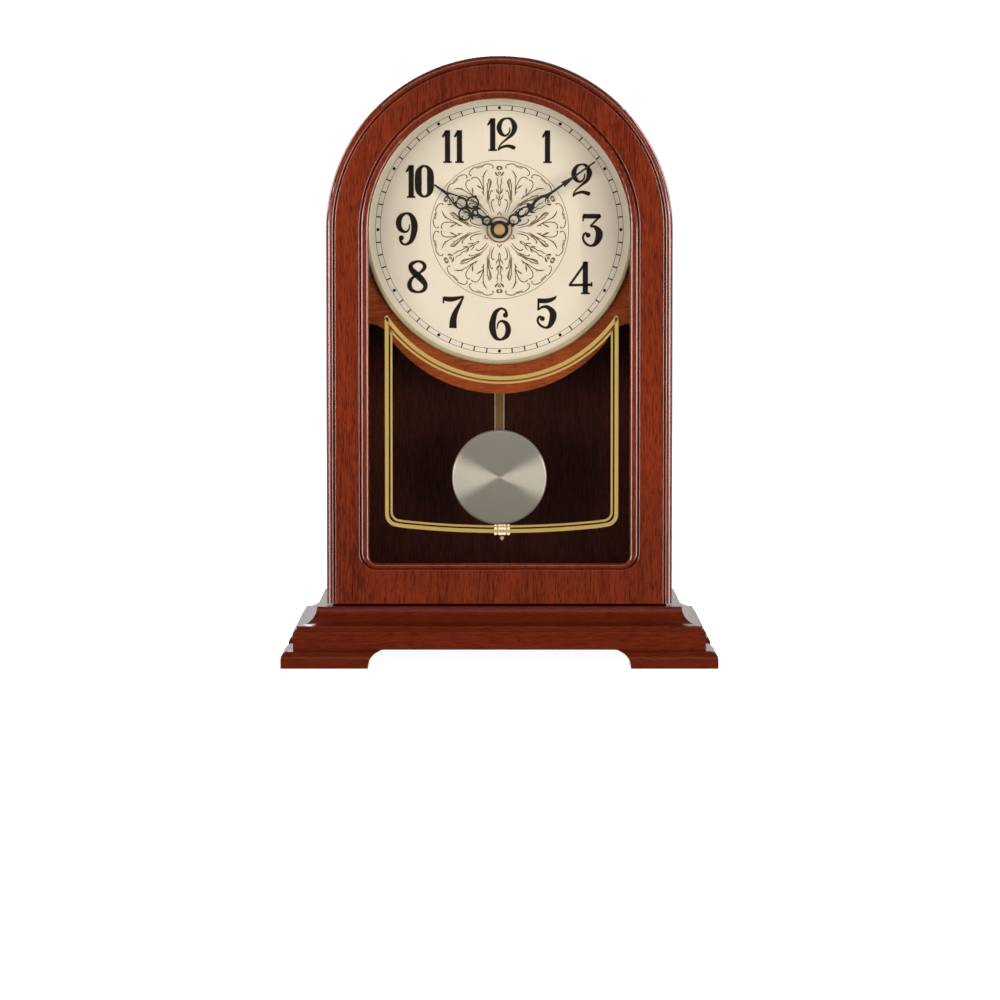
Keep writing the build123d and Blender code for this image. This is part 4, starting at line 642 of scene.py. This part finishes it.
class CLOCK_OT_case(bpy.types.Operator):
    """Stain and lacquer the wooden case, its door, its base and its inner boards"""

    bl_idname = "clock.case"
    bl_label = "Wooden case"

    def execute(self, context):
        colours = context.scene.clock_colours
        light, dark = tuple(colours.stain), tuple(colours.stain_dark)
        low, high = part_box("front_door_frame")
        # Painted shade on the door: darker towards its bottom, and more so towards the top of the arch
        painted_shade_rows = (0.0, 0.82), (0.12, 0.78), (0.28, 1.0), (0.88, 1.0), (0.96, 0.72), (1.0, 0.68)
        painted_shade = [(low.z + height * (high.z - low.z), share) for height, share in painted_shade_rows]
        upright = {"grain": UPRIGHT, "light": light, "dark": dark, "depth": painted_shade}
        finish_nodes(["front_door_frame"], veneer("stained poplar veneer upright", **upright, satin=0.09))
        case = veneer("stained poplar veneer of the case", **upright, coat=1.35, satin=0.24)
        finish_nodes(["case_shell"], case)
        low_light = tuple(0.52 * np.array(light))
        finish_nodes(
            ["plinth_front", "cove_front", "plinth_back", "base_board"],
            veneer("stained poplar moulding across", ACROSS, low_light, dark, coat=1.25, satin=0.16),
        )
        finish_nodes(
            ["plinth_left", "plinth_right", "cove_left", "cove_right"],
            veneer("stained poplar moulding along", DEEP, low_light, dark, coat=1.25, satin=0.16),
        )
        light, dark = linear("#B05524"), linear("#742D13")
        board = veneer("stained poplar board", ACROSS, light, dark, gloss=0.4, coat=1.25)
        finish_nodes(["dial_panel"], board)
        light, dark = linear("#562212"), linear("#31110A")
        finish_nodes(
            ["back_panel", "back_door", "case_floor", "glass_retainer"],
            veneer("dark stained board", UPRIGHT, light, dark, gloss=0.5, coat=1.25),
        )
        light, dark = linear("#C99E66"), linear("#9A6E3C")
        finish_nodes(["dial_panel_cleats"], veneer("bare pine", UPRIGHT, light, dark, gloss=0.6, coat=1.1))
        return {"FINISHED"}


class CLOCK_OT_metalwork(bpy.types.Operator):
    """Finish the hinges, screws, catches, rim, nuts and knob"""

    bl_idname = "clock.metalwork"
    bl_label = "Metalwork"

    def execute(self, context):
        brass = metal("polished brass", linear("#C9A45C"), 0.24, 0.08, 0.4)
        leaves = ["hinge_case_leaves", "hinge_pins", "hinge_case_screws", "front_door_hinge_leaves"]
        leaves += ["front_door_hinge_screws", "back_door_hinge_leaves", "back_door_hinge_screws"]
        finish_nodes(leaves + ["back_door_knob"], brass)
        finish_nodes(["hand_nut"], metal("lacquered brass", linear("#C89E62"), 0.4, 0.06, 0.3, bare=0.45))
        finish_nodes(["dial_nut"], self.nut_with_painted_reflection())
        finish_nodes(["dial_bezel"], metal("dull gold plate", linear("#D0BC90"), 0.36, 0.08, 0.3, bare=0.5))
        zinc = metal("zinc plated steel", linear("#B9BAB8"), 0.34, 0.1, 0.5)
        steel = ["case_screws", "front_door_strike", "back_door_strike", "stator", "battery_contacts"]
        finish_nodes(steel, zinc)
        nickel = metal("nickel plated magnet", linear("#C4C2BE"), 0.18, 0.05, 0.6)
        finish_nodes(["catch_magnets", "pendulum_magnet"], nickel)
        return {"FINISHED"}

    def nut_with_painted_reflection(self):
        """Lacquered brass painted pale cream as a painted reflection of the dial, with painted shade as a
        bronze line round its outer edge, by the distance from the arbor.
        """
        # Painted reflection: the pale cream stands for the dial mirrored in the brass
        material = metal("lacquered brass with painted reflection and rim shade", linear("#E6D6B2"), 0.36, 0.06, 0.3, bare=0.2)
        tree = material.node_tree
        low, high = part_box("dial_nut")
        radius = (high.x - low.x) / 2
        centre = (low + high) / 2
        place = add(tree, "TexCoord").outputs["Object"]
        place = add(tree, "VectorMath", {0: place, 1: centre}, operation="SUBTRACT")
        flat = add(tree, "VectorMath", {0: place.outputs[0], 1: (1, 0, 1)}, operation="MULTIPLY")
        reach = add(tree, "VectorMath", {0: flat.outputs[0]}, operation="LENGTH").outputs["Value"]
        # Painted shade: a bronze line round the nut's outer edge
        edge = add(tree, "MapRange", {0: reach, 1: radius - 0.95 * MM, 2: radius - 0.6 * MM})
        tinged(material, edge.outputs[0], linear("#94633C"))
        return material


class CLOCK_OT_movement(bpy.types.Operator):
    """Finish the plastic movement, its gears, coils, board and cells"""

    bl_idname = "clock.movement"
    bl_label = "Movement"

    def execute(self, context):
        black = moulded("moulded black styrene", linear("#1B1B1C"), 0.5, 0.6, 0.4)
        shell = ["movement_front_case", "movement_back_cover", "train_bridge", "setting_knob"]
        finish_nodes(shell + ["pendulum_hanger"], black)
        gears = ["hour_wheel", "cannon_pinion", "minute_wheel", "setting_wheel", "centre_wheel"]
        gears += ["third_wheel", "fourth_wheel", "fifth_wheel", "rotor"]
        finish_nodes(gears, moulded("natural acetal", linear("#E9E6DA"), 0.38))
        finish_nodes(["movement_washer"], moulded("black rubber", linear("#151515"), 0.7, 0.5, 0.5))
        finish_nodes(["circuit_board"], moulded("green solder mask", linear("#1E5A34"), 0.32))
        copper = linear("#A8562C"), 0.3, 0.05, 0.12
        finish_nodes(["step_coil"], metal("enamelled copper across", *copper, UPRIGHT, 0.5))
        finish_nodes(["pendulum_coil"], metal("enamelled copper round", *copper, DEEP, 0.5))
        finish_nodes(["battery_cells"], self.jacket())
        return {"FINISHED"}

    def jacket(self):
        """Shrunk plastic jacket round a steel can: bare plated ends, a dark sleeve and a pale band."""
        material, tree, surface = blank("shrunk cell jacket")
        low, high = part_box("battery_cells")
        place = add(tree, "TexCoord")
        height = add(tree, "SeparateXYZ", {0: place.outputs["Object"]})
        share = add(tree, "MapRange", {0: height.outputs["Z"], 1: low.z, 2: high.z})
        bands = add(tree, "ValToRGB", {0: share.outputs[0]})
        bands.color_ramp.interpolation = "CONSTANT"
        steel, sleeve, band = linear("#B8B8B4"), linear("#26303F"), linear("#C8CCD0")
        shades(bands, ((0.0, steel), (0.035, sleeve), (0.30, band), (0.36, sleeve), (0.965, steel)))
        tree.links.new(bands.outputs[0], surface.inputs["Base Color"])
        surface.inputs["Roughness"].default_value = 0.28
        return material


class CLOCK_OT_dial(bpy.types.Operator):
    """Enamel the dial and print its numbers, minute track and ornament"""

    bl_idname = "clock.dial"
    bl_label = "Dial"

    def execute(self, context):
        sizes, colours = context.scene.clock_sizes, context.scene.clock_colours
        finish_nodes(["dial_plate"], self.enamel(tuple(colours.dial)))
        face = DIAL_LOW.y
        black = ink("black dial ink", linear("#15110F"), 0.5)
        edge = ink("gold edge ink", linear("#8A6A3A"), 0.45, 0.2)
        piece("number_edges", number_parts(sizes.number_radius, 0.2, face), edge, "case")
        piece("numbers", number_parts(sizes.number_radius, 0.0, face - PRINT), black, "case")
        piece("minute_track", self.track(sizes, face), black, "case")
        bronze = ink("bronze dial ink", tuple(colours.scroll), 0.45, 0.25)
        ring = circle(0, DIAL_Z, sizes.scroll_radius, 0.13 * MM, face, PRINT)
        piece("dial_scrolls", scroll_parts(face) + [ring], bronze, "case")
        olive = ink("olive gold dial ink", linear("#A8905A"), 0.45, 0.25)
        leaves = sixths([smooth(stroke, 6) for stroke in LEAVES], face)
        piece("dial_leaves", leaves, olive, "case")
        return {"FINISHED"}

    def enamel(self, cream):
        """Sprayed enamel on sheet metal: an even satin cream, a little deeper in places."""
        material, tree, surface = blank("sprayed cream enamel")
        cloud = add(tree, "TexNoise", {"Vector": stretched(tree, 30, 30, 0), "Scale": 1.0, "Detail": 3.0})
        shade = add(tree, "MapRange", {0: cloud.outputs[0], 1: 0.3, 2: 0.7, 3: 0.965, 4: 1.02})
        tint = add(tree, "VectorMath", {0: cream, "Scale": shade.outputs[0]}, operation="SCALE")
        spray = add(tree, "TexNoise", {"Vector": stretched(tree, 0.5, 0.5, 0), "Scale": 1.0, "Detail": 2.0})
        relief = add(tree, "Bump", {"Height": spray.outputs[0], "Strength": 0.1, "Distance": 0.02 * MM})
        tree.links.new(tint.outputs[0], surface.inputs["Base Color"])
        tree.links.new(relief.outputs[0], surface.inputs["Normal"])
        surface.inputs["Roughness"].default_value = 0.45
        surface.inputs["Specular IOR Level"].default_value = 0.35
        return material

    def track(self, sizes, face):
        """Two circles, a bar between them for each minute and a dot for each hour."""
        inner, outer = sizes.track_inner, sizes.track_outer
        parts = [circle(0, DIAL_Z, radius, 0.11 * MM, face, PRINT) for radius in (inner, outer)]
        for minute in range(60):
            out = np.array([np.sin(np.pi / 30 * minute), np.cos(np.pi / 30 * minute)])
            if minute % 5:
                bar = np.array([out * inner, out * outer]) + (0, DIAL_Z)
                parts.append(ribbon(bar, 0.33 * MM, face, PRINT))
            else:
                middle = out * (inner + outer) / 2
                parts.append(dot(middle[0], DIAL_Z + middle[1], 0.85 * MM, face, PRINT))
        return parts


class CLOCK_OT_hands(bpy.types.Operator):
    """Lacquer the hands"""

    bl_idname = "clock.hands"
    bl_label = "Hands"

    def execute(self, context):
        lacquer = moulded("satin black lacquer", linear("#0E0D0D"), 0.35, 0.3, 0.1)
        finish_nodes(["hour_hand", "minute_hand"], lacquer)
        return {"FINISHED"}


class CLOCK_OT_glass(bpy.types.Operator):
    """Glaze the door and print the gold line on its glass"""

    bl_idname = "clock.glass"
    bl_label = "Glass"

    def execute(self, context):
        glass, tree, surface = blank("float glass")
        haze = add(tree, "TexNoise", {"Vector": stretched(tree, 25, 25, 0), "Scale": 1.0, "Detail": 2.0})
        film = add(tree, "MapRange", {0: haze.outputs[0], 1: 0.3, 2: 0.7, 3: 0.015, 4: 0.035})
        tree.links.new(film.outputs[0], surface.inputs["Roughness"])
        surface.inputs["Base Color"].default_value = rgba(linear("#141817"))
        surface.inputs["Alpha"].default_value = 0.05
        finish_nodes(["front_glass"], glass)
        gold = ink("gold glass ink", tuple(context.scene.clock_colours.gold), 0.4, 0.2)
        lines = frame_line(half=59.5, low=68.85, round_off=5.5, arc_radius=72.0, width=1.95)
        lines += frame_line(half=57.1, low=71.25, round_off=4.5, arc_radius=74.4, width=1.05)
        piece("glass_line", lines + clasp_ground(), gold, "front_door")
        # Painted highlight: the clasp's gold beads are inked near white for their glints
        bright = ink("gold glass ink with painted highlights", linear("#FBF3DC"), 0.3)
        piece("glass_clasp", clasp_parts(), bright, "front_door")
        return {"FINISHED"}


class CLOCK_OT_pendulum(bpy.types.Operator):
    """Turn and brush the bob, and finish its rod and weight"""

    bl_idname = "clock.pendulum"
    bl_label = "Pendulum"

    def execute(self, context):
        sizes = context.scene.clock_sizes
        radius = (BOB_HIGH.x - BOB_LOW.x) / 2
        front, back = BOB_LOW.y, BOB_HIGH.y
        wall, edge = 0.8 * MM, 1.2 * MM
        turn = np.radians(np.linspace(0, 90, 9))
        profile = np.vstack([
            np.stack([np.linspace(0, radius - edge, 26), np.full(26, front)], 1),
            np.stack([radius - edge + edge * np.sin(turn[1:]), front + edge - edge * np.cos(turn[1:])], 1),
            [(radius, back), (radius - wall, back), (radius - wall, front + wall), (0, front + wall)],
        ])
        centre = (BOB_LOW.x + BOB_HIGH.x) / 2, (BOB_LOW.z + BOB_HIGH.z) / 2
        points, faces, uv = turned(profile, sizes.bob_segments, centre)
        bob = piece("bob", [(points, faces)], self.brushed(), "pendulum", uv)
        bob.data.set_sharp_from_angle(angle=np.radians(40))
        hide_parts("bob_face")
        finish_nodes(["pendulum_rod"], self.rod_with_painted_highlights())
        finish_nodes(["bob_weight"], metal("bare steel", linear("#7C7A76"), 0.45, 0.1, 0.5))
        return {"FINISHED"}

    def rod_with_painted_highlights(self):
        """Bronze plated steel strip, brushed along, with a painted highlight: its colour turns pale along
        both edges.
        """
        material = metal("bronze plated steel", linear("#88663C"), 0.3, 0.06, 0.25, UPRIGHT, 0.3, 0.72)
        tree = material.node_tree
        low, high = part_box("pendulum_rod")
        half = (high.x - low.x) / 2
        place = add(tree, "SeparateXYZ", {0: add(tree, "TexCoord").outputs["Object"]})
        across = add(tree, "Math", {0: place.outputs["X"], 1: (high.x + low.x) / 2}, operation="SUBTRACT")
        across = add(tree, "Math", {0: across.outputs[0]}, operation="ABSOLUTE")
        # Painted highlight: pale along both long edges of the rod
        edge = add(tree, "MapRange", {0: across.outputs[0], 1: half - 0.75 * MM, 2: half - 0.55 * MM})
        tinged(material, edge.outputs[0], linear("#F2E6CC"))
        return material

    def brushed(self):
        """Lacquered champagne nickel, brushed in circles on a lathe: fine rings spread light across them."""
        material, tree, surface = blank("circular brushed nickel")
        place = add(tree, "TexCoord")
        rings = add(tree, "Mapping", {"Vector": place.outputs["UV"], "Scale": (3.0, 260.0, 1.0)}).outputs[0]
        mark = add(tree, "TexNoise", {"Vector": rings, "Scale": 1.0, "Detail": 4.0, "Roughness": 0.7})
        shade = add(tree, "MapRange", {0: mark.outputs[0], 1: 0.3, 2: 0.7, 3: 0.9, 4: 1.06})
        tint = add(tree, "VectorMath", {0: linear("#B3AA9A"), "Scale": shade.outputs[0]}, operation="SCALE")
        tangent = add(tree, "Tangent", direction_type="UV_MAP", uv_map="turning")
        tree.links.new(tint.outputs[0], surface.inputs["Base Color"])
        tree.links.new(tangent.outputs[0], surface.inputs["Tangent"])
        surface.inputs["Metallic"].default_value = 0.58
        surface.inputs["Roughness"].default_value = 0.24
        surface.inputs["Anisotropic"].default_value = 1.0
        surface.inputs["Anisotropic Rotation"].default_value = 0.25
        return material


class CLOCK_OT_stage(bpy.types.Operator):
    """Set up the pale sweep, the soft lights and the camera"""

    bl_idname = "clock.stage"
    bl_label = "Stage"

    def execute(self, context):
        scene = context.scene
        self.sweep(scene)
        self.sky(scene)
        for place, width, height, powers in LAMP_PAIRS:
            for side, power in zip((-1, 1), powers):
                self.softbox(scene, (side * place[0], *place[1:]), width, height, power)
        self.softbox(scene, *FRONT_LAMP)
        self.softbox(scene, *BACK_LAMP)
        camera = bpy.data.objects.new("camera", bpy.data.cameras.new("camera"))
        camera.data.lens, camera.data.sensor_width = LENS, SENSOR
        camera.location = CAMERA_PLACE
        camera.rotation_mode = "QUATERNION"
        camera.rotation_quaternion = (CAMERA_AIM - CAMERA_PLACE).to_track_quat("-Z", "Y")
        camera.data.clip_end = 30.0
        scene.collection.objects.link(camera)
        scene.camera = camera
        scene.view_settings.view_transform = "Standard"
        return {"FINISHED"}

    def sweep(self, scene):
        """A pale floor that curves up into a backdrop: a profile of a flat, a quarter round and a wall."""
        front, bend, radius, top, half = -1.1, 5.2, 0.8, 4.0, 4.0
        turn = np.radians(np.linspace(0, 90, 24))
        depth = np.concatenate([[front], bend + radius * np.sin(turn), [bend + radius]])
        height = np.concatenate([[0.0], radius - radius * np.cos(turn), [top]])
        across = np.broadcast_to([-half, half], (len(depth), 2))
        points = np.stack([across, np.stack([depth] * 2, 1), np.stack([height] * 2, 1)], -1).reshape(-1, 3)
        first = 2 * np.arange(len(depth) - 1)
        faces = np.stack([first, first + 1, first + 3, first + 2], 1)
        mesh = bpy.data.meshes.new("sweep")
        mesh.from_pydata(points.tolist(), [], faces.tolist())
        mesh.polygons.foreach_set("use_smooth", np.ones(len(faces), bool))
        floor = bpy.data.objects.new("sweep", mesh)
        scene.collection.objects.link(floor)
        material, tree, surface = blank("white paper")
        # The lift to white is for the camera alone, and leaves next to nothing of the clock's shadow
        path = add(tree, "LightPath")
        lift = add(tree, "Math", {0: path.outputs["Is Camera Ray"], 1: 0.96}, operation="MULTIPLY")
        tree.links.new(lift.outputs[0], surface.inputs["Emission Strength"])
        surface.inputs["Emission Color"].default_value = (1, 1, 1, 1)
        surface.inputs["Base Color"].default_value = rgba(linear("#A8A7A5"))
        surface.inputs["Roughness"].default_value = 0.9
        mesh.materials.append(material)
        # Lamps below the table's level light the clock, and are mirrored in it, as past a narrow table
        floor.visible_shadow = False
        floor.visible_glossy = False

    def sky(self, scene):
        """White to the camera alone. Other rays find it pale behind the clock, and dim overhead and in front,
        so that flat fronts keep their colour."""
        world = bpy.data.worlds.new("studio")
        world.use_nodes = True
        tree = world.node_tree
        place = add(tree, "TexCoord")
        way = add(tree, "SeparateXYZ", {0: place.outputs["Generated"]})
        pale = add(tree, "MapRange", {0: way.outputs["Y"], 1: -0.4, 2: 0.5, 3: 0.03, 4: 0.6})
        dim = add(tree, "MapRange", {0: way.outputs["Z"], 1: 0.2, 2: 0.8, 3: 1.0, 4: 0.7})
        strength = add(tree, "Math", {0: pale.outputs[0], 1: dim.outputs[0]}, operation="MULTIPLY")
        seen = add(tree, "LightPath").outputs["Is Camera Ray"]
        strength = add(tree, "Math", {0: strength.outputs[0], 1: seen}, operation="MAXIMUM")
        tree.links.new(strength.outputs[0], tree.nodes["Background"].inputs["Strength"])
        tree.nodes["Background"].inputs["Color"].default_value = (1, 1, 1, 1)
        scene.world = world

    def softbox(self, scene, where, width, height, power):
        """A rectangular soft light aimed at the middle of the clock."""
        lamp = bpy.data.lights.new("softbox", "AREA")
        lamp.shape, lamp.size, lamp.size_y, lamp.energy = "RECTANGLE", width, height, power
        made = bpy.data.objects.new("softbox", lamp)
        made.location = where
        made.rotation_mode = "QUATERNION"
        made.rotation_quaternion = (LAMP_AIM - made.location).to_track_quat("-Z", "Y")
        scene.collection.objects.link(made)


class CLOCK_PT_panel(bpy.types.Panel):
    """Steps that dress the clock"""

    bl_idname = "CLOCK_PT_panel"
    bl_label = "Desk pendulum clock"
    bl_space_type = "VIEW_3D"
    bl_region_type = "UI"
    bl_category = "Clock"

    def draw(self, context):
        for step in STEPS:
            self.layout.operator(step.bl_idname)
        for group in (context.scene.clock_sizes, context.scene.clock_colours):
            for name in group.__annotations__:
                self.layout.prop(group, name)


STEPS = (
    CLOCK_OT_case,
    CLOCK_OT_metalwork,
    CLOCK_OT_movement,
    CLOCK_OT_dial,
    CLOCK_OT_hands,
    CLOCK_OT_glass,
    CLOCK_OT_pendulum,
    CLOCK_OT_stage,
)
CLASSES = (ClockSizes, ClockColours, *STEPS, CLOCK_PT_panel)


def register():
    for each in CLASSES:
        bpy.utils.register_class(each)
    bpy.types.Scene.clock_sizes = PointerProperty(type=ClockSizes)
    bpy.types.Scene.clock_colours = PointerProperty(type=ClockColours)


def unregister():
    del bpy.types.Scene.clock_colours
    del bpy.types.Scene.clock_sizes
    for each in reversed(CLASSES):
        bpy.utils.unregister_class(each)


def main():
    register()
    for step in STEPS:
        group, name = step.bl_idname.split(".")
        getattr(getattr(bpy.ops, group), name)()


if __name__ == "__main__":
    main()
